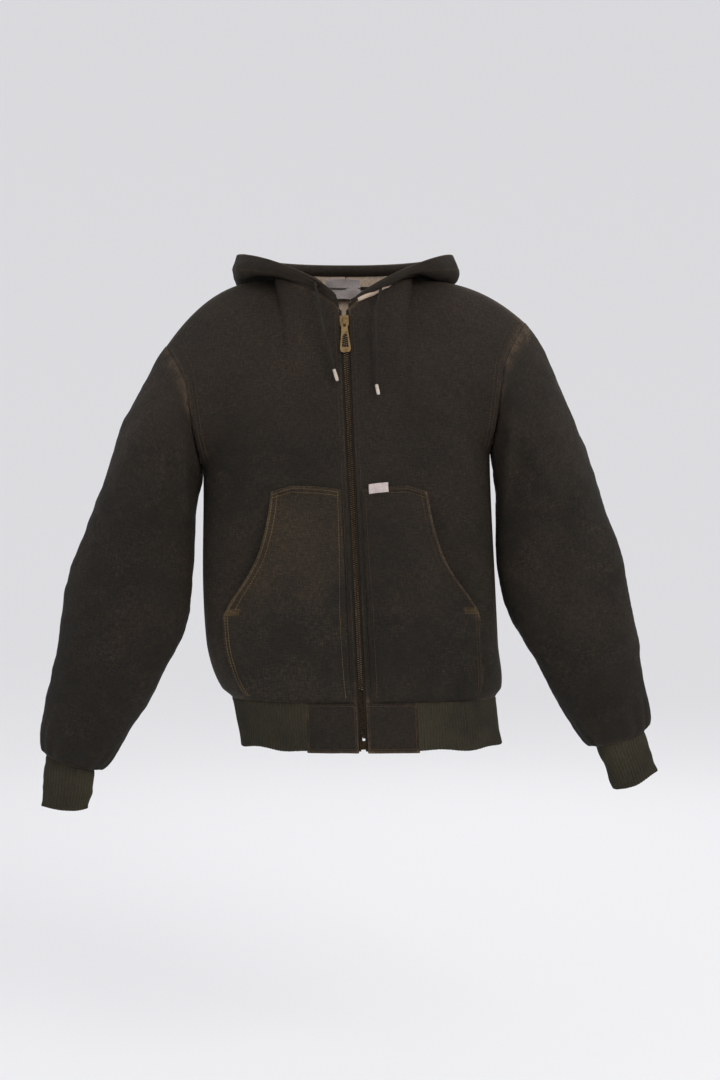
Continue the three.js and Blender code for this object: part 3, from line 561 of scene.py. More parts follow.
def front_grid(side, first, n_across=118, n_up=170):
    """Columns from first mm beside the zip to the side seam, at even shares of the way."""
    u, v = grid(np.linspace(0, 1, n_across), rows_up(n_up))
    start = first / half_width(side, body_z(side, -1, 0.03, v), v)
    f = mix(start, 1, u)
    return f, v, body(side, -1, f, v)


def tone_at(x, z):
    """Patches of heavier and lighter wax: the chest and pockets are paler than the hem."""
    chest = 0.34 * smooth(-300, -130, z)
    patch = 0.30 * np.exp(-(((x + 60) / 62) ** 2 + ((z + 400) / 60) ** 2))
    patch = patch + 0.18 * np.exp(-(((x + 90) / 50) ** 2 + ((z + 160) / 60) ** 2))
    return chest + patch + 0.10 * ripple(x, z, 150, 31)


def front_panel(side, label):
    """The outer duck of one front."""
    f, v, P = front_grid(side, ZIP_OPEN)
    wear = np.clip(edge_wear(f, v) + 0.22 * smooth(4, 0, (f - f[:1]) * 230), 0, 1)
    piece = shell(f"front_panel_{label}", P, side, 1.5, uv=P[..., [0, 2]], wear=wear,
                  tone=tone_at(P[..., 0], P[..., 2]))
    return finish_piece(piece, duck, "body", f"front_{label}", slot="duck")


def back_panel():
    """The outer duck of the back, in one piece from side seam to side seam."""
    u, v = grid(np.linspace(-1, 1, 190), rows_up(170))
    P = body(np.where(u < 0, -1, 1), 1, np.abs(u), v)
    P[..., 1] = np.maximum(P[..., 1], SEAM)
    piece = shell("back_panel", P, -1, 1.5, uv=P[..., [0, 2]], wear=edge_wear(np.abs(u), v),
                  tone=0.12 + 0.5 * tone_at(P[..., 0] + 40, P[..., 2]))
    return finish_piece(piece, duck, "body", "back", slot="duck")


fronts = {side: front_panel(side, label) for side, label in ((1, "left"), (-1, "right"))}
back_cloth = back_panel()

# %% [markdown]
# The lining hangs inside the duck on its own seams. It follows the same surface a few millimetres
# further in, so nothing shows through when a fold moves.

# %% Body lining and facings


def body_lining():
    """Both front linings and the back lining, 2.7 mm inside the duck's outer face."""
    made = {}
    for side, label in ((1, "left"), (-1, "right")):
        f, v, P = front_grid(side, 43.5, 70, 100)
        piece = shell(f"front_lining_{label}", P, side, 1.6, lift=-2.7, uv=P[..., [0, 2]])
        made[label] = finish_piece(piece, lining, "body", f"lining_front_{label}", slot="lining")
    u, v = grid(np.linspace(-1, 1, 130), rows_up(110))
    P = body(np.where(u < 0, -1, 1), 1, np.abs(u), v)
    piece = shell("back_lining", P, -1, 1.6, lift=-2.7, uv=P[..., [0, 2]])
    made["back"] = finish_piece(piece, lining, "body", "lining_back", slot="lining")
    return made


def zip_strips(side, label):
    """The zip's tape and the duck facing behind it, as strips a fixed distance from the zip."""
    low = -(BAND_HEIGHT + 1) / 530
    d, v = grid(np.linspace(3.3, 20, 12), np.linspace(low, 1, 160))
    P = body_at(side, -1, d, v)
    piece = shell(f"zip_tape_cloth_{label}", P, side, 0.7, lift=-2.6, uv=P[..., [0, 2]])
    tape = finish_piece(piece, tape_weave, "body", f"zip_tape_{label}", slot="zip_tape")
    d, v = grid(np.linspace(8.2, 42, 18), np.linspace(low, 1, 160))
    P = body_at(side, -1, d, v)
    piece = shell(f"zip_facing_{label}", P, side, 1.1, lift=-3.9, uv=P[..., [0, 2]], wear=0 * v, tone=0 * v)
    return tape, finish_piece(piece, duck, "body", f"facing_{label}", slot="duck")


linings = body_lining()
strips = {side: zip_strips(side, label) for side, label in ((1, "left"), (-1, "right"))}

# %% [markdown]
# ## Pockets
# The pockets are one split pouch, sewn on at the top, the zip and the lower side. The slanted mouth
# is hemmed and stands open a little, and its hem and the bar tack at its foot are rubbed pale.

# %% Pockets
POCKET_EDGE = [[0, 0.84], [0.42, 0.86], [0.5, 0.8], [0.6, 0.69], [0.7, 0.61], [0.85, 0.55], [1, 0.52]]


def pocket_mouth(w):
    """0 where the pocket's outer edge is sewn down, 1 in the middle of its open mouth."""
    return np.sin(np.pi * np.clip((w - 0.44) / 0.54, 0, 1))


def pocket_point(side, g, w, proud=2.2):
    """g runs from the zip to the outer edge, w from the hem to the top; the mouth bulges outwards."""
    f = mix(0.07, along(POCKET_EDGE, w), g)
    v = mix(0.004, mix(0.53, 0.488, g), w)
    P = body(side, -1, f, v)
    bulge = 13 * g * g * pocket_mouth(w) + 4 * np.sin(np.pi * g) * np.sin(np.pi * w)
    hollow = 2.6 * ripple(P[..., 0] + 90 * side, P[..., 2], 95, 12) * np.sin(np.pi * g) * np.sin(np.pi * w)
    P[..., 1] -= np.maximum(bulge + hollow, 0) + proud + 0.9 * g * pocket_mouth(w)
    return P


def pocket_panel(side, label):
    """The pouch's outer cloth, with the wear of its hem in the last few mm at the mouth and top."""
    g, w = grid(np.linspace(0, 1, 90), np.linspace(0, 1, 150))
    P = pocket_point(side, g, w)
    edge = smooth(0.95, 1.0, g) * (0.12 + 0.5 * smooth(0.40, 0.46, w)) + 0.22 * smooth(0.98, 1.0, w)
    edge = edge + 0.5 * smooth(0.90, 1.0, g) * np.exp(-(((w - 0.43) / 0.025) ** 2))
    warm = 0.42 if side < 0 else 0.16
    tone = warm * smooth(0.45, 0.62, w + 0.05 * ripple(P[..., 0], P[..., 2], 70, 8)) - 0.12 * (w < 0.4)
    piece = shell(f"pocket_pouch_{label}", P, side, 1.5, uv=P[..., [0, 2]], wear=np.clip(edge, 0, 1),
                  tone=tone)
    return finish_piece(piece, pocket_duck if side < 0 else duck, "body", f"pocket_{label}", slot="duck")


pouches = {side: pocket_panel(side, label) for side, label in ((1, "left"), (-1, "right"))}

# %% [markdown]
# ## Waistband
# A rib-knit band runs round the back from tab to tab, and pulls the body in so that it blouses over.
# Its ribs are real ridges, about 4 mm apart, because they catch the light along the hem.

# %% Waistband
TAB_OUTER = 78
RIB_PITCH = 4.2


def ribs(distance, height, pitch=RIB_PITCH):
    """Rounded ridges: height * |cos| of the distance along the band, sharpened a little."""
    return height * np.abs(np.cos(np.pi * distance / pitch)) ** 0.7


def run_length(P):
    """Running distance in mm along the first direction of a grid, taken at its middle row."""
    step = np.linalg.norm(np.diff(P[:, P.shape[1] // 2], axis=0), axis=-1)
    return np.concatenate([[0], np.cumsum(step)])


def band_point(u, v):
    """u from -2 at the right tab round the back to +2 at the left tab."""
    side, reach = np.where(u < 0, -1, 1), np.abs(u)
    z = body_z(side, -1, 0.3, v)
    start = (TAB_OUTER + 0.4) / half_width(side, z, v)
    rear = body(side, 1, np.minimum(reach, 1), v)
    front = body(side, -1, mix(1, start, np.clip(reach - 1, 0, 1)), v)
    return np.where((reach <= 1)[..., None], rear, front)


def waistband():
    """The knitted band: an even walk round the hem, waved along its lower edge."""
    line = band_point(*grid(np.linspace(-2, 2, 1601), np.array([-0.06, -0.05])))
    length = run_length(line)
    u = np.interp(np.linspace(0, length[-1], 1150), length, np.linspace(-2, 2, 1601))
    u, v = grid(u, np.linspace(-BAND_HEIGHT / 530, -0.0008, 22))
    P = band_point(u, v)
    d = run_length(P)[:, None] + 0 * v
    low = smooth(-0.06, -0.125, v)
    P[..., 2] += low * 3.0 * ripple(d, 0, 90, 41)
    out = normals(P, -1)
    P = P + out * (ribs(d + 1.2 * ripple(d, P[..., 2], 60, 42), 1.5)[..., None]
                   + (1.6 * ripple(d, P[..., 2], 55, 43) * smooth(0, -0.03, v))[..., None])
    uv = np.stack([d, v * 530], -1)
    piece = shell("waistband_knit", P, -1, 2.6, lift=-0.6, uv=uv)
    print("waistband length:", round(float(d[-1, 0])), "mm")
    return finish_piece(piece, rib_knit, "body", "waistband_rib", slot="rib_knit")


def waist_tab(side, label):
    """The flat duck tab beside the zip, a little longer than the knit, with a bound lower edge."""
    d, v = grid(np.linspace(ZIP_OPEN, TAB_OUTER, 44), np.linspace(-(BAND_HEIGHT + 3) / 530, -0.0008, 40))
    P = body_at(side, -1, d, v)
    P[..., 1] -= 1.6 * ripple(P[..., 0], P[..., 2], 45, 51 + side) * np.sin(np.pi * (d - 7) / 71)
    wear = 0.9 * smooth(-0.122, -0.130, v) + 0.4 * smooth(72, 78, d) + 0.5 * smooth(12, 7, d)
    piece = shell(f"waist_tab_cloth_{label}", P, side, 2.0, uv=P[..., [0, 2]], wear=wear, tone=0.08 + 0 * v)
    return finish_piece(piece, duck, "body", f"waist_tab_{label}", slot="duck")


band = waistband()
tabs = {side: waist_tab(side, label) for side, label in ((1, "left"), (-1, "right"))}

# %% [markdown]
# ## Sleeves
# A sleeve is a tube: rings that start as the armhole's shape and ease into the arm's own ring.

# %% Sleeves
SLEEVE = np.array([
    [0, 236, -207, 8, 95, 62], [0.12, 258, -256, 34, 76, 64], [0.25, 281, -333, 62, 73, 62],
    [0.5, 312, -478, 74, 91, 46], [0.7, 346, -580, 72, 77, 40], [0.86, 374, -657, 70, 62, 36],
    [0.95, 391, -699, 70, 48, 33], [1, 397, -716, 72, 37, 28]])
SLEEVE_FOLDS = {
    -1: [((-231, -250, -226, -372), 8, 7.5), ((-249, -262, -262, -340), 9, 4.5),
         ((-238, -300, -330, -430), 20, 4.0), ((-300, -560, -395, -505), 15, 3.5),
         ((-320, -640, -412, -600), 13, 3.0), ((-350, -700, -425, -660), 10, 3.0),
         ((-262, -210, -330, -330), 22, 3.0)],
    1: [((236, -235, 229, -390), 9, 6.0), ((246, -250, 300, -360), 14, 4.5),
        ((262, -220, 350, -380), 24, 3.0), ((300, -530, 400, -480), 15, 3.0),
        ((330, -600, 425, -545), 13, 3.5), ((350, -670, 440, -620), 11, 3.0)],
}


def ripple3(P, length, seed, parts=10):
    """The same seeded soft noise, in space, so that it meets itself round a tube."""
    rng = np.random.default_rng(seed)
    total = 0.0
    for _ in range(parts):
        way = unit(rng.normal(size=3))
        phase, size = rng.uniform(0, 2 * np.pi), rng.uniform(0.75, 1.4)
        total = total + np.cos(2 * np.pi / (length * size) * (P @ way) + phase)
    return total / np.sqrt(parts * 0.5) * 0.8


def sleeve_lift(side):
    """The wearer's left shoulder hangs higher, and its sleeve with it."""
    return DROP[-1] - DROP[1] if side > 0 else 0


def armhole(side, a):
    """The seam's ring: a runs from the shoulder down the front to the armpit and up the back."""
    down = np.where(a <= 0.5, a * 2, (1 - a) * 2)
    P = body(side, np.where(a <= 0.5, -1, 1), 1.0, mix(1, ARMHOLE_V, down))
    P[..., 0] += side * (0.92 + 0.4 * np.sin(np.pi * down))
    return P


def sleeve_ring(side, a, t):
    """An ellipse of half width w and half depth d, leaning with the arm."""
    rows = [along(SLEEVE[:, [0, k]], t) for k in range(1, 6)]
    lean, half = np.radians(rows[2]), rows[3] * np.cos(2 * np.pi * a)
    return point(side * (rows[0] + half * np.sin(lean)), -6 - rows[4] * np.sin(2 * np.pi * a),
                 rows[1] + half * np.cos(lean) + sleeve_lift(side))


def sleeve_base(side, a, t):
    """Eased off the armhole over the first quarter, and kept just outside the body's side."""
    share = np.maximum(0, 1 - t / 0.24)
    offset = armhole(side, a) - sleeve_ring(side, a, 0 * t)
    P = sleeve_ring(side, a, t) + offset * (share**2 * (3 - 2 * share))[..., None]
    v = np.clip((P[..., 2] - WAIST_Z) / (top_z(side, -1, 1.0) - WAIST_Z), 0, 1)
    edge = body(side, -1, 1.0, v)[..., 0] * side + 0.92 + 1.4 * np.minimum(1, t / 0.05)
    P[..., 0] = side * np.maximum(P[..., 0] * side, edge)
    return P


def sleeve_grid(side, n_round, n_down):
    """Rings with the underarm seam at the join, and folds pushed out along the normal."""
    i, t = grid(np.arange(n_round) / n_round, np.linspace(0, 1, n_down))
    a = (0.5 + i) % 1
    P = sleeve_base(side, a, t)
    x, z = P[..., 0], P[..., 2]
    front = smooth(-0.15, 0.5, np.sin(2 * np.pi * a))
    lift = sleeve_lift(side)
    push = front * sum(fold(x, z - 0.6 * lift, line, w, h) for line, w, h in SLEEVE_FOLDS[side])
    push = push + (1 - front) * 2.0 * ripple3(P, 120, 21)
    flank = np.abs(np.sin(2 * np.pi * a))
    push = push + 1.5 * flank * ripple3(P, 120, 22) + 0.9 * flank * ripple3(P, 58, 23)
    push = push + 0.42 * ripple3(P, 28, 24) + 0.16 * ripple3(P, 13, 25)
    gather = np.sin(2 * np.pi * 15 * a + 2 * np.sin(4 * np.pi * a))
    puff = smooth(0.84, 0.95, t) * smooth(1.0, 0.972, t)
    push = push * smooth(0, 0.08, t) * smooth(1.0, 0.94, t) + puff * (4.5 + 1.2 * gather)
    seam_x = body(side, -1, 1.0, np.clip((z - WAIST_Z) / 540, 0, 1))[..., 0]
    inner_side = smooth(2.5, 14, x * side - seam_x * side)
    inner_side = np.where(z > -560, inner_side, 1)
    push = np.where(push > 0, push * mix(0.35, 1, inner_side), push)
    return i, a, t, P + normals(P, side, True) * push[..., None]


def sleeve(side, label):
    """The duck sleeve and its lining, with their transforms baked into the mesh."""
    i, a, t, P = sleeve_grid(side, 150, 190)
    uv = np.stack([i * 380, t * 560], -1)
    wear = np.minimum(0.75 * smooth(0.03, 0, t) + 0.5 * smooth(0.985, 1, t), 0.65)
    tone = 0.30 * smooth(0.34, 0.05, t) - 0.10
    tone = tone + 0.2 * np.exp(-((t - 0.22) / 0.1) ** 2) * smooth(0.4, 0.95, np.cos(2 * np.pi * a))
    outer = shell(f"sleeve_cloth_{label}", P, side, 1.5, loop=True, uv=uv, wear=np.clip(wear, 0, 1),
                  tone=tone)
    finish_piece(outer, duck, None, f"sleeve_{label}", slot="duck")
    i, a, t, P = sleeve_grid(side, 90, 110)
    inner = shell(f"sleeve_lining_{label}", P, side, 1.5, lift=-3.0, loop=True,
                  uv=np.stack([i * 380, t * 560], -1))
    finish_piece(inner, lining, None, f"lining_sleeve_{label}", slot="lining")
    for piece in (outer, inner):
        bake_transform(piece)
    return outer, inner


sleeves = {side: sleeve(side, label) for side, label in ((1, "left"), (-1, "right"))}

# %% [markdown]
# The cuffs are tubes of the same rib knit as the waistband, and ride rigidly with the sleeve's end.

# %% Cuffs
CUFF_LENGTH, CUFF_LEAN, CUFF_RIBS = 64, {1: 20, -1: 7}, 46


def cuff(side, label):
    """A ribbed tube that turns from the arm's lean to hang down; the ribs are |cos| round the ring."""
    a, t = grid(np.arange(CUFF_RIBS * 8) / (CUFF_RIBS * 8), np.linspace(0, 1, 30))
    flat = 90 - CUFF_LEAN[side]
    lean = np.radians(mix(SLEEVE[-1, 3], flat, np.minimum(1, t * 2)))
    half = (mix(35, 31, t) + 1.5 * np.sin(np.pi * t) + 2.0 * t**6) * np.cos(2 * np.pi * a)
    run = CUFF_LENGTH * t + 0.4
    P = point(side * (SLEEVE[-1, 1] + run * np.cos(np.radians(flat)) + half * np.sin(lean)),
              -6 - mix(26, 24, t) * np.sin(2 * np.pi * a),
              SLEEVE[-1, 2] - run * np.sin(np.radians(flat)) + half * np.cos(lean) + sleeve_lift(side))
    out = normals(P, side, True)
    wave = 1.1 * ripple3(P, 42, 61 + side) + 0.5 * ripple3(P, 18, 63 + side)
    ridge = 1.3 * np.abs(np.cos(np.pi * CUFF_RIBS * a)) ** 0.7
    P = P + out * (ridge + wave - 0.6)[..., None]
    P[..., 2] += 2.2 * smooth(0.7, 1, t) * ripple3(P, 60, 65 + side)
    piece = shell(f"cuff_knit_{label}", P, side, 2.4, loop=True, uv=np.stack([a * 200, t * 64], -1))
    return finish_piece(piece, rib_knit, f"sleeve_{label}", f"cuff_{label}", slot="rib_knit")


cuffs = {side: cuff(side, label) for side, label in ((1, "left"), (-1, "right"))}

# %% [markdown]
# ## Hood
# Lying down, the hood is a bowl sewn round the neck: from each point of the neck seam a curve goes
# out, sags behind and comes back up to the rim. A cubic Bezier curve draws each one.

# %% Hood surface
HOOD_HALF, HOOD_BACK, HOOD_RIM_Z, HOOD_FRONT_Z, HOOD_SAG, CASING = 157, 150, 18, -76, 400, 28
EYELET_S = {1: 1.777, -1: -1.833}


def hood_points(s):
    """The four points of each curve; s is 0 behind, +-1 over the shoulder and +-2 at the zip. The rim
    rises from the zip as width ** 0.55 on the wearer's right and width ** 0.7 on the left."""
    out, cos = np.sin(s * np.pi / 2), np.cos(s * np.pi / 2)
    back, front, width = np.maximum(0, cos), np.maximum(0, -cos), np.abs(out)
    rise = width ** np.where(out < 0, 0.55, 0.7)
    rim = np.where(front > 0, mix(HOOD_FRONT_Z, HOOD_RIM_Z, rise), HOOD_RIM_Z + 13 * back**0.6)
    face = np.where(front > 0, -1, 1)
    n = body(np.where(out < 0, -1, 1), face, NECK_HALF / SHOULDER_HALF * width, 1.0, hang=False)
    n = n + point(0, -face * SEAM, 0.9)
    r = point(HOOD_HALF * out + zip_x(NECK_FRONT_Z), HOOD_BACK * back - (FRONT_DEPTH + 4) * front + 8 * width,
              rim)
    side = 1 - front
    b1 = n + point(26 * out * side, 46 * back - front, 26 * width * side - 50 * back**3 + 6 * front)
    b2 = r + point(20 * out * side, 66 * back - front,
                   -76 * width * side * (1 - back) - HOOD_SAG * back**1.5 - 8 * front)
    return n, b1, b2, r


def hood_plain(s, t):
    """The Bezier surface itself: t is 0 at the neck seam and 1 at the rim."""
    n, b1, b2, r = hood_points(s)
    t = np.asarray(t)[..., None]
    q = 1 - t
    return n * q**3 + 3 * b1 * q * q * t + 3 * b2 * q * t * t + r * t**3


def hood_normal(s, t, h=1e-3):
    """Outward normals, from small steps both ways."""
    du = hood_plain(s + h, t) - hood_plain(s - h, t)
    dv = hood_plain(s, t + h) - hood_plain(s, t - h)
    return unit(np.cross(dv, du))


def hood_surface(s, t):
    """The hood with its folds: noise along the normal, none at the neck seam and little at the rim."""
    P = hood_plain(s, t)
    quiet = smooth(0, 0.12, t) * mix(0.3, 1, smooth(1.0, 0.86, t)) * smooth(1.97, 1.80, np.abs(s))
    push = 3.0 * ripple3(P, 105, 71) + 1.6 * ripple3(P, 52, 72) + 0.5 * ripple3(P, 24, 73)
    push = push + 0.16 * ripple3(P, 12, 74)
    return P + hood_normal(s, t) * (push * quiet)[..., None]


def casing_start(s, width=CASING):
    """The share of the curve at which the hem for the drawcord begins, so that it is width mm wide."""
    _, _, b2, r = hood_points(s)
    width = width - 11 * smooth(1.0, 0.6, np.abs(s))
    return 1 - width * np.minimum(0.62 / CASING, 1 / (3 * np.linalg.norm(b2 - r, axis=-1) + 1))


print("hood rim at", HOOD_RIM_Z, "mm")

# %% [markdown]
# Each half of the hood is duck outside and thermal knit inside. The knit stops where the hem for the
# drawcord begins, and the hem swells over the cord.

# %% Hood pieces


def hood_map(P):
    """A flat map of a hood grid: running length along both directions, for the weave."""
    du = np.linalg.norm(np.diff(P, axis=0, prepend=P[:1]), axis=-1).cumsum(0)
    dv = np.linalg.norm(np.diff(P, axis=1, prepend=P[:, :1]), axis=-1).cumsum(1)
    return np.stack([du, dv], -1)


def hood_half(side, label):
    """One half of the hood: duck outside, thermal lining inside up to the drawcord hem."""
    s, w = grid(np.linspace(0.0015, 1.955, 150), np.linspace(0, 1, 130))
    tuck = 0.02 + 0.10 * smooth(1.05, 1.4, s)
    P = hood_surface(side * s, mix(-tuck, 1, w))
    start = casing_start(side * s)
    wear = 0.75 * smooth(0.985, 1, w) + 0.5 * smooth(0.02, 0, s) + 0.35 * np.exp(-(((w - start) * 60) ** 2))
    tone = 0.25 * smooth(0.9, 1.4, s) + 0.10
    outer = shell(f"hood_cloth_{label}", P, -side, 1.5, uv=hood_map(P), wear=np.clip(wear, 0, 1), tone=tone)
    finish_piece(outer, duck, "body", f"hood_{label}", slot="duck")
    s, w = grid(np.linspace(0.004, 1.945, 110), np.linspace(0.09, 1, 90))
    P = hood_surface(side * s, w * casing_start(side * s, CASING + 0.8))
    lift = -1.9 - (1.4 - 1.1 * smooth(1.2, 1.6, s)) * np.sin(np.pi * w)
    inner = shell(f"hood_lining_cloth_{label}", P, -side, 0.7, lift=lift,
                  uv=hood_map(P))
    return outer, finish_piece(inner, lining, "body", f"hood_lining_{label}", slot="lining")


def hood_hem():
    """The hem that the drawcord runs in: a tube-like swell inside the rim, all round the opening."""
    s, w = grid(np.linspace(-1.955, 1.955, 300), np.linspace(0, 1, 26))
    P = hood_surface(s, mix(casing_start(s), 1, w))
    high = mix(6.0, 2.8, smooth(1.3, 1.6, np.abs(s))) - 1.6 * smooth(1.84, 1.94, np.abs(s))
    swell = 2.4 + high * np.maximum(np.sin(np.pi * w), 0) ** 0.8
    swell = swell + 0.3 * ripple3(P, 16, 81) * np.sin(np.pi * w)
    wear = 0.7 * smooth(0.9, 1, w) + 0.5 * smooth(0.1, 0, w)
    piece = shell("hood_hem_cloth", P, -1, 1.1, lift=-swell, uv=hood_map(P), wear=wear, tone=0.2 + 0 * w)
    return finish_piece(piece, duck, "body", "hood_casing", slot="duck")


hoods = {side: hood_half(side, label) for side, label in ((1, "left"), (-1, "right"))}
hem = hood_hem()

# %% [markdown]
# ## Zip
# The CAD keeps each row of teeth as one bar, so that the slider can run on it. Here each tooth is cut
# on its own: a root held by the tape, and a narrower head that reaches between two teeth opposite.

# %% Zip teeth


def on_zip(x, y, s):
    """A point of the zip's own frame, s mm down its leaning line, put in the jacket's frame."""
    c, k = 1 / np.hypot(1, ZIP_LEAN), ZIP_LEAN / np.hypot(1, ZIP_LEAN)
    return point(c * x + k * s + ZIP_TOP_X, y, k * x - c * s + ZIP_TOP_Z)


CORNERS = np.array([[0, 0, 0], [1, 0, 0], [1, 1, 0], [0, 1, 0], [0, 0, 1], [1, 0, 1], [1, 1, 1], [0, 1, 1]])
BLOCK = np.array([[0, 3, 2, 1], [4, 5, 6, 7], [0, 1, 5, 4], [1, 2, 6, 5], [2, 3, 7, 6], [3, 0, 4, 7]])


def tooth_row(side, label, pitch=3.0):
    """Teeth as tapered blocks at every pitch; the two rows stand half a pitch apart."""
    end = ZIP_LENGTH - (13 if side > 0 else 31)
    s = np.arange(3.8 + (0 if side > 0 else pitch / 2), end - 2, pitch)[:, None]
    head = CORNERS[None, :, 0]
    x = side * mix(3.3, -0.45, head)
    y = mix(TOOTH_FRONT, TOOTH_BACK, CORNERS[None, :, 1]) + 0.55 * head * (1 - 2 * CORNERS[None, :, 1])
    down = s + mix(0.85, 0.62, head) * (2 * CORNERS[None, :, 2] - 1)
    verts = on_zip(x + 0 * s, y + 0 * s, down).reshape(-1, 3)
    quads = (BLOCK[None] + 8 * np.arange(len(s))[:, None, None]).reshape(-1, 4)
    piece = put_mesh(f"teeth_{label}", verts, quads)
    piece.data.polygons.foreach_set("use_smooth", np.zeros(len(quads), bool))
    print(len(s), "teeth on the", label)
    return finish_piece(piece, tooth_brass, "body", f"zip_teeth_{label}", slot="brass")


def dress(node, look, bevel=0.0):
    """A CAD node whose shape is right keeps it, and gets a finish and a small rounded edge."""
    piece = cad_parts[node]
    piece.data.materials.clear()
    piece.data.materials.append(look)
    if bevel:
        weld = piece.modifiers.new("weld", "WELD")
        weld.merge_threshold = 1e-6
        edge = piece.modifiers.new("bevel", "BEVEL")
        edge.width, edge.segments, edge.limit_method, edge.angle_limit = bevel, 3, "ANGLE", 0.6
        piece.modifiers.new("even", "WEIGHTED_NORMAL")
    return piece


teeth = {side: tooth_row(side, label) for side, label in ((1, "left"), (-1, "right"))}
dress("pull_tab", puller_brass, 0.0004)
dress("zip_slider", puller_brass, 0.0005)
for node in ("zip_pin", "zip_retainer", "zip_stop_left", "zip_stop_right"):
    dress(node, tooth_brass, 0.0003)
print("zip dressed")

# %% [markdown]
# ## Drawcord
# One cord runs in the hood's hem and comes out of an eyelet on each side of the neck. Its two free
# ends hang down the chest and finish in moulded tips. Its length is what shows, end to end.

# %% Drawcord
CORD_R = 1.75
FREE_END = {
    1: [(43, -101, -76), (43, -100, -110), (44, -99, -145), (44, -98.5, -179)],
    -1: [(-34, -101, -76), (-29, -100, -105), (-21, -99, -130), (-15, -98.5, -158)],
}
TIP_END = {1: (47, -98.5, -193), -1: (-10, -98.5, -174)}


def casing_point(s, depth, share=0.5):
    """A point of the hood's hem, depth mm inside its outer face."""
    t = mix(casing_start(s), 1, share)
    return hood_plain(s, t) - hood_normal(s, t) * np.asarray(depth, float)[..., None]


def smooth_path(points, steps=14):
    """A Catmull-Rom curve: each span is a cubic whose slopes are half the step between its neighbours."""
    p = np.array(points, float)
    p = np.concatenate([[2 * p[0] - p[1]], p, [2 * p[-1] - p[-2]]])
    t = np.linspace(0, 1, steps, endpoint=False)[:, None]
    a, b, c, d = (p[k:len(p) - 3 + k, None] for k in range(4))
    curve = 0.5 * (2 * b + (c - a) * t + (2 * a - 5 * b + 4 * c - d) * t**2 + (3 * b - a - 3 * c + d) * t**3)
    return np.concatenate([curve.reshape(-1, 3), p[-2:-1]])


def tube(name, path, radius, ref, sides=12, braid=0.0):
    """A round cord: a ring of corners about each path point, its ends filled, with a braid's ripple."""
    path = np.asarray(path, float)
    way = unit(np.gradient(path, axis=0))
    across = unit(np.cross(way, ref))
    other = np.cross(way, across)
    turn = 2 * np.pi * np.arange(sides) / sides
    run = np.concatenate([[0], np.linalg.norm(np.diff(path, axis=0), axis=-1).cumsum()])
    r = np.broadcast_to(radius, run.shape)[None] + braid * np.cos(3 * turn[:, None] + run[None] * 2.2)
    ring = np.cos(turn)[:, None, None] * across + np.sin(turn)[:, None, None] * other
    P = path[None] + r[..., None] * ring
    index = np.arange(P.shape[0] * P.shape[1]).reshape(P.shape[:2])
    right = np.roll(index, -1, 0)
    quads = [np.stack([index[:, :-1], right[:, :-1], right[:, 1:], index[:, 1:]], -1).reshape(-1, 4)]
    k = np.arange(1, sides - 2, 2)
    quads.append(np.stack([index[k * 0, 0], index[k + 2, 0], index[k + 1, 0], index[k, 0]], -1))
    quads.append(np.stack([index[k * 0, -1], index[k, -1], index[k + 1, -1], index[k + 2, -1]], -1))
    uv = np.stack(np.broadcast_arrays(turn[:, None] * CORD_R, run[None]), -1)
    return put_mesh(name, P.reshape(-1, 3), np.concatenate(quads), uv.reshape(-1, 2))


def length_of(path):
    """The length of a path in metres, from points in mm."""
    return float(np.linalg.norm(np.diff(path, axis=0), axis=-1).sum() / 1000)


def free_end(side, label):
    """One end of the cord from its eyelet down to its tip, and the tip."""
    s = np.array(EYELET_S[side])
    out = [casing_point(s, d) for d in (1.6, -0.6, -3.4, -5.5)]
    path = smooth_path([*out, *FREE_END[side]], 12)
    piece = tube(f"drawcord_end_{label}", path, CORD_R, (1, 0, 0), 12, 0.12)
    finish_piece(piece, cord_braid, "body", "drawcord", slot="cord")
    start, end = np.array(FREE_END[side][-1]), np.array(TIP_END[side])
    t = np.linspace(0, 1, 26)
    line = start + (end - start) * (t[:, None] + 0.03)
    swell = 2.0 + 0.35 * smooth(0, 0.08, t) - 0.55 * smooth(0.8, 1, t) ** 2 - 0.25 * (np.abs(t - 0.18) < 0.03)
    tip = tube(f"drawcord_tip_{label}", line, swell, (0, 1, 0), 16)
    finish_piece(tip, tip_plastic, "body", f"cord_tip_{label}", slot="cord_tip")
    print(f"free end {label}: {length_of(path[6:]) * 1000:.0f} mm and its tip")
    return piece, tip


def eyelet(side, label):
    """A rolled brass ring: a small round section carried round a circle, about the hem's own normal."""
    s = np.array(EYELET_S[side])
    centre, up = casing_point(s, -0.4), hood_normal(s, mix(casing_start(s), 1, 0.5))
    a, b = grid(2 * np.pi * np.arange(28) / 28, 2 * np.pi * np.arange(10) / 10)
    e1 = unit(np.cross(up, (0.0, 0.0, 1.0)))
    e2 = np.cross(up, e1)
    r = 3.7 + 1.25 * np.cos(b)
    P = centre + r[..., None] * (np.cos(a)[..., None] * e1 + np.sin(a)[..., None] * e2)
    P = P + (0.9 * np.sin(b))[..., None] * up
    i = np.arange(280).reshape(28, 10)
    j, k = np.roll(i, -1, 0), np.roll(i, -1, 1)
    quads = np.stack([i, j, np.roll(j, -1, 1), k], -1).reshape(-1, 4)
    piece = put_mesh(f"eyelet_ring_{label}", P.reshape(-1, 3), quads)
    return finish_piece(piece, tooth_brass, "body", f"eyelet_{label}", slot="brass")


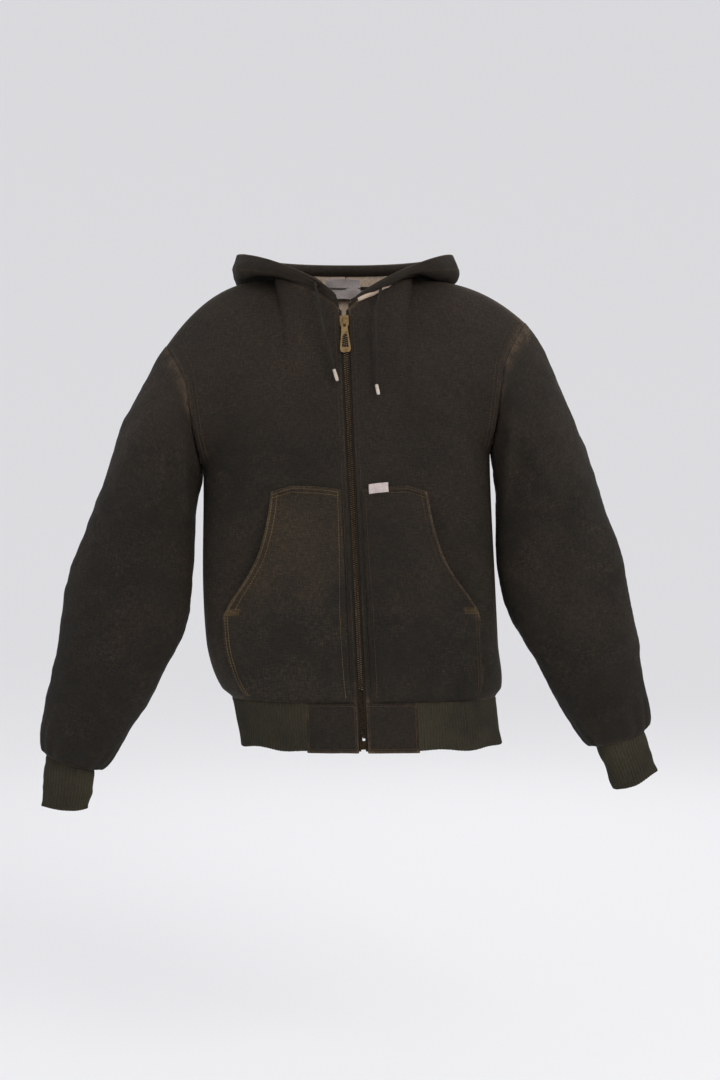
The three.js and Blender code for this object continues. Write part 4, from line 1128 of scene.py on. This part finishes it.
eyelets = {side: eyelet(side, label) for side, label in ((1, "left"), (-1, "right"))}
s_run = np.linspace(EYELET_S[-1] + 0.02, EYELET_S[1] - 0.02, 160)
run_depth = mix(6.3, 3.3, smooth(1.3, 1.6, np.abs(s_run)))
inside = tube("drawcord_in_hem", casing_point(s_run, run_depth), 1.4, (0, 0, 1), 8)
finish_piece(inside, cord_braid, "body", "drawcord", slot="cord")
ends = {side: free_end(side, label) for side, label in ((1, "left"), (-1, "right"))}

# %% [markdown]
# ## Labels
# A woven label covers the neck seam inside, and a small woven tag is caught on the pocket's top edge.
# Both are blank.

# %% Labels


def neck_label():
    """A soft rectangle 51 mm wide over the neck seam, curled a little and crumpled."""
    u, w = grid(np.linspace(-1, 1, 60), np.linspace(0, 1, 40))
    x = -5 + 25.5 * u + 1.2 * np.sin(3 * w)
    z = mix(-33, -2, w) + 1.5 * np.cos(2.2 * u) - 1.5
    y = 84 * np.sqrt(1 - (x / 100) ** 2) - 5.6 - 3.2 * (1 - w) ** 2 - 1.3 * ripple(x, z, 26, 91)
    P = point(x, y, z)
    piece = shell("neck_label_cloth", P, -1, 0.7, uv=P[..., [0, 2]])
    return finish_piece(piece, label_cloth, "body", "neck_label", slot="label")


def pocket_label():
    """A tag 28 mm wide on the wearer's left pocket, standing a few mm above its top hem."""
    g, w = grid(np.linspace(0.107, 0.40, 48), np.linspace(0.975, 1.019, 18))
    P = pocket_point(1, g, np.minimum(w, 1.0))
    P[..., 2] += np.maximum(w - 1, 0) * 300
    P[..., 1] -= 0.5 + 0.5 * ripple(P[..., 0], P[..., 2], 20, 92) ** 2
    piece = shell("pocket_label_cloth", P, 1, 0.6, lift=0.7, uv=P[..., [0, 2]])
    return finish_piece(piece, pocket_tag, "body", "pocket_label", slot="label")


labels = [neck_label(), pocket_label()]

# %% [markdown]
# ## Stitching
# Work clothes are sewn with doubled and tripled rows. Each stitch is a tiny tapered block laid along
# its row at an even pitch, slightly sunk in the cloth, and all the rows of a colour are one mesh.

# %% Stitches


def on_surface(fn, u, v, sign, e=2e-3):
    """Points of a surface along a line of parameters, with outward normals from two small steps."""
    P = fn(u, v)
    n = np.cross(fn(u + e, v) - fn(u - e, v), fn(u, v + e) - fn(u, v - e))
    return P, unit(n) * sign


def stitches(rows, pitch=4.0, length=3.1, width=0.42, height=0.75):
    """Corners of every stitch of several rows: blocks at each pitch, narrower at their ends."""
    blocks = []
    for P, n in rows:
        run = np.concatenate([[0], np.linalg.norm(np.diff(P, axis=0), axis=-1).cumsum()])
        at = np.arange(pitch / 2, run[-1], pitch)
        c, m = (np.stack([np.interp(at, run, q[:, k]) for k in range(3)], -1) for q in (P, n))
        ahead = np.stack([np.interp(at + 0.8, run, P[:, k]) for k in range(3)], -1) - c
        ahead, m = unit(ahead), unit(m)
        over = np.cross(ahead, m)
        x, y, h = (CORNERS - np.array([0.5, 0.5, 0])).T
        rise = (h * height - 0.25)[None, :, None]
        taper = np.where(h > 0, 0.72, 1.0)
        blocks.append(c[:, None] + ahead[:, None] * (x * length * taper)[None, :, None]
                      + over[:, None] * (y * 2 * width)[None, :, None] + m[:, None] * rise)
    return np.concatenate(blocks)


def sew(name, look, rows, body_name="body", **sizes):
    """Puts all rows in one mesh."""
    corners = stitches(rows, **sizes)
    quads = (BLOCK[None] + 8 * np.arange(len(corners))[:, None, None]).reshape(-1, 4)
    verts = corners.reshape(-1, 3)
    piece = put_mesh(name, verts, quads, verts[:, [0, 2]])
    print(len(corners), "stitches in", name)
    return finish_piece(piece, look, body_name)


def front_line(side, f, v, face=-1):
    """A row on the front or back, by shares f and v."""
    f, v = np.broadcast_arrays(np.asarray(f, float), np.asarray(v, float))
    return on_surface(lambda a, b: body(side, face, a, b), f, v, -side)


def rows_on_body():
    """Doubled rows at the armholes and the back of the shoulders, and one row beside the zip."""
    rows, k = [], np.linspace(0, 1, 200)
    for side in (1, -1):
        for face in (-1, 1):
            for f in (0.972, 0.951):
                rows.append(front_line(side, f + 0 * k, mix(ARMHOLE_V + 0.01, 0.99, k), face))
        for v in (0.9885, 0.978):
            rows.append(front_line(side, mix(0.40, 0.985, k), v + 0 * k, 1))
        start = 13 / half_width(side, body_z(side, -1, 0.03, k), k)
        rows.append(front_line(side, start, mix(0.01, 0.975, k)))
    return rows


def rows_on_tabs():
    """The tabs' top, hem and outer edge."""
    rows, k = [], np.linspace(0, 1, 60)
    for side in (1, -1):
        fn = lambda d, v, side=side: body_at(side, -1, d, v) + point(0, -0.4, 0)
        rows += [on_surface(fn, mix(10, 76, k), v + 0 * k, side) for v in (-0.0075, -0.121)]
        rows += [on_surface(fn, d + 0 * k, mix(-0.122, -0.006, k), side) for d in (74.5, 10.5)]
    return rows


def rows_on_pocket(side):
    """The mouth's hem, the top, the lower side seam and the edge beside the zip."""
    fn = lambda g, w: pocket_point(side, g, w) + point(0, -0.2, 0)
    k = np.linspace(0, 1, 140)
    rows = [on_surface(fn, g + 0 * k, mix(0.455, 0.985, k), side) for g in (0.972, 0.905)]
    rows += [on_surface(fn, mix(0.03, 0.985, k), w + 0 * k, side) for w in (0.987, 0.970)]
    rows += [on_surface(fn, g + 0 * k, mix(0.02, 0.43, k), side) for g in (0.978, 0.955)]
    rows.append(on_surface(fn, 0.05 + 0 * k, mix(0.02, 0.98, k), side))
    return rows


def bar_tack(side):
    """Dense stitches across the foot of the mouth, in a block about 20 mm long."""
    fn = lambda g, w: pocket_point(side, g, w) + point(0, -0.3, 0)
    k = np.linspace(0, 1, 40)
    return [on_surface(fn, mix(0.86, 0.985, k), w + 0.012 * k, side) for w in np.linspace(0.425, 0.450, 5)]


def rows_on_hood():
    """The drawcord hem's row, two rows beside the crown seam and one above the neck seam."""
    k = np.linspace(0, 1, 500)
    s = mix(-1.93, 1.93, k)
    rows = [on_surface(hood_surface, s, casing_start(s) + 0.004, -1)]
    rows.append(on_surface(hood_surface, s, 0.035 + 0 * s, -1))
    rows += [on_surface(hood_surface, c + 0 * k, mix(0.05, 0.99, k), -1) for c in (-0.035, 0.035)]
    return rows


sew("stitching_body", thread, rows_on_body() + rows_on_tabs() + rows_on_hood())
sew("stitching_pocket_left", thread, rows_on_pocket(1))
sew("stitching_pocket_right", pale_thread, rows_on_pocket(-1))
sew("bar_tacks", pale_thread, bar_tack(1) + bar_tack(-1), pitch=1.1, length=1.9, width=0.3)


def neck_overlock():
    """The dark overlocked edge inside the neck: a zigzag of thread along the back of the neck seam."""
    a = np.linspace(-0.92, 0.92, 900)
    x = 100 * np.sin(a * np.pi / 2)
    inside_y = 84 * np.sqrt(np.maximum(0, 1 - (x / 100) ** 2)) - 6.4
    z = -17.5 + 3.1 * np.abs((np.arange(900) % 10) / 5 - 1) - 1.5
    path = point(x, inside_y, z)
    piece = tube("neck_overlock_thread", path, 0.75, (0, 0, 1), 6)
    return finish_piece(piece, tape_weave, "body")


overlock = neck_overlock()

# %% [markdown]
# ## Sheets of cloth
# Each panel is declared with the size it was cut to, in metres, so that its area can be checked.

# %% Cut sizes
CUTS = {
    "front_panel_left": (0.29, 0.61, 0.145), "front_panel_right": (0.30, 0.61, 0.151),
    "back_panel": (0.56, 0.62, 0.310), "front_lining_left": (0.25, 0.58, 0.122),
    "front_lining_right": (0.26, 0.58, 0.128), "back_lining": (0.55, 0.61, 0.305),
    "zip_tape_cloth_left": (0.020, 0.60, 0.0115), "zip_tape_cloth_right": (0.020, 0.60, 0.0115),
    "zip_facing_left": (0.042, 0.60, 0.022), "zip_facing_right": (0.042, 0.60, 0.022),
    "pocket_pouch_left": (0.21, 0.26, 0.042), "pocket_pouch_right": (0.22, 0.26, 0.044),
    "waistband_knit": (0.066, 0.95, 0.062), "waist_tab_cloth_left": (0.080, 0.066, 0.0052),
    "waist_tab_cloth_right": (0.080, 0.066, 0.0052), "sleeve_cloth_left": (0.46, 0.60, 0.215),
    "sleeve_cloth_right": (0.46, 0.60, 0.217), "sleeve_lining_left": (0.44, 0.59, 0.204),
    "sleeve_lining_right": (0.44, 0.59, 0.205), "cuff_knit_left": (0.20, 0.064, 0.0128),
    "cuff_knit_right": (0.20, 0.064, 0.0128), "hood_cloth_left": (0.27, 0.36, 0.066),
    "hood_cloth_right": (0.27, 0.36, 0.065), "hood_lining_cloth_left": (0.25, 0.33, 0.055),
    "hood_lining_cloth_right": (0.25, 0.33, 0.054), "hood_hem_cloth": (0.030, 0.86, 0.022),
    "neck_label_cloth": (0.051, 0.033, 0.00168), "pocket_label_cloth": (0.028, 0.012, 0.00033),
}


def area_of(piece):
    """Half of a closed cloth's surface, in square metres."""
    mesh = piece.data
    area = np.zeros(len(mesh.polygons), np.float32)
    mesh.polygons.foreach_get("area", area)
    return float(area.sum() / 2)


for name, (width, length, area) in CUTS.items():
    piece = bpy.data.objects[name]
    print(f"{name}: cut {width} x {length} m, {area} m2; the cloth measures {area_of(piece):.5f} m2")

# %% [markdown]
# ## Floor and light
# A pale floor that rises softly far away all round stands for the studio, with broad soft lights, so
# the dark cloth keeps its shape without hard highlights.

# %% Studio


def studio_floor():
    """A round floor: height = 0.09 * (r - 3.5) ** 2 beyond 3.5 m from the middle, flat before that."""
    r, a = grid(np.concatenate([np.linspace(0.01, 3.5, 12), np.linspace(3.7, 12, 40)]),
                np.linspace(0, 2 * np.pi, 97))
    height = -1.25 + 0.09 * np.maximum(0, r - 3.5) ** 2
    P = point(r * np.cos(a), r * np.sin(a), height) * 1000
    index = np.arange(P.shape[0] * P.shape[1]).reshape(P.shape[:2])
    quads = np.stack([index[:-1, :-1], index[1:, :-1], index[1:, 1:], index[:-1, 1:]], -1).reshape(-1, 4)
    floor = put_mesh("studio_floor", P.reshape(-1, 3), quads)
    made, tree = material("pale_matt_floor")
    out = add(tree, "OutputMaterial")
    paint = add(tree, "BsdfPrincipled", {"Base Color": linear("C9C9CB"), "Roughness": 0.9,
                "Emission Color": linear("FFFFFF"), "Emission Strength": 0.24})
    tree.links.new(paint.outputs[0], out.inputs[0])
    floor.data.materials.append(made)
    return floor


def soft_light(name, place, target, size, power, tint):
    """A square area light aimed at a target."""
    data = bpy.data.lights.new(name, "AREA")
    data.size, data.energy, data.color = size, power, tint
    lamp = bpy.data.objects.new(name, data)
    bpy.context.scene.collection.objects.link(lamp)
    lamp.location = place
    way = np.array(target) - np.array(place)
    tilt = np.arccos(-way[2] / np.linalg.norm(way))
    lamp.rotation_euler = (tilt, 0, np.arctan2(way[1], way[0]) - np.pi / 2)
    return lamp


studio_floor()
soft_light("key", (2.0, -2.8, 1.6), (0, 0, -0.35), 1.8, 75, (1.0, 0.99, 0.97))
soft_light("fill", (-2.6, -2.4, 0.4), (0, 0, -0.4), 2.4, 16, (0.95, 0.97, 1.0))
soft_light("back", (0.6, 3.0, 1.6), (0, 0, -0.3), 2.4, 30, (1.0, 1.0, 1.0))
world = bpy.data.worlds.new("studio")
world.use_nodes = True
world.node_tree.nodes["Background"].inputs[0].default_value = linear("E2E2E5")
world.node_tree.nodes["Background"].inputs[1].default_value = 1.0
bpy.context.scene.world = world
bpy.context.scene.view_settings.view_transform = "Standard"
print("studio ready")
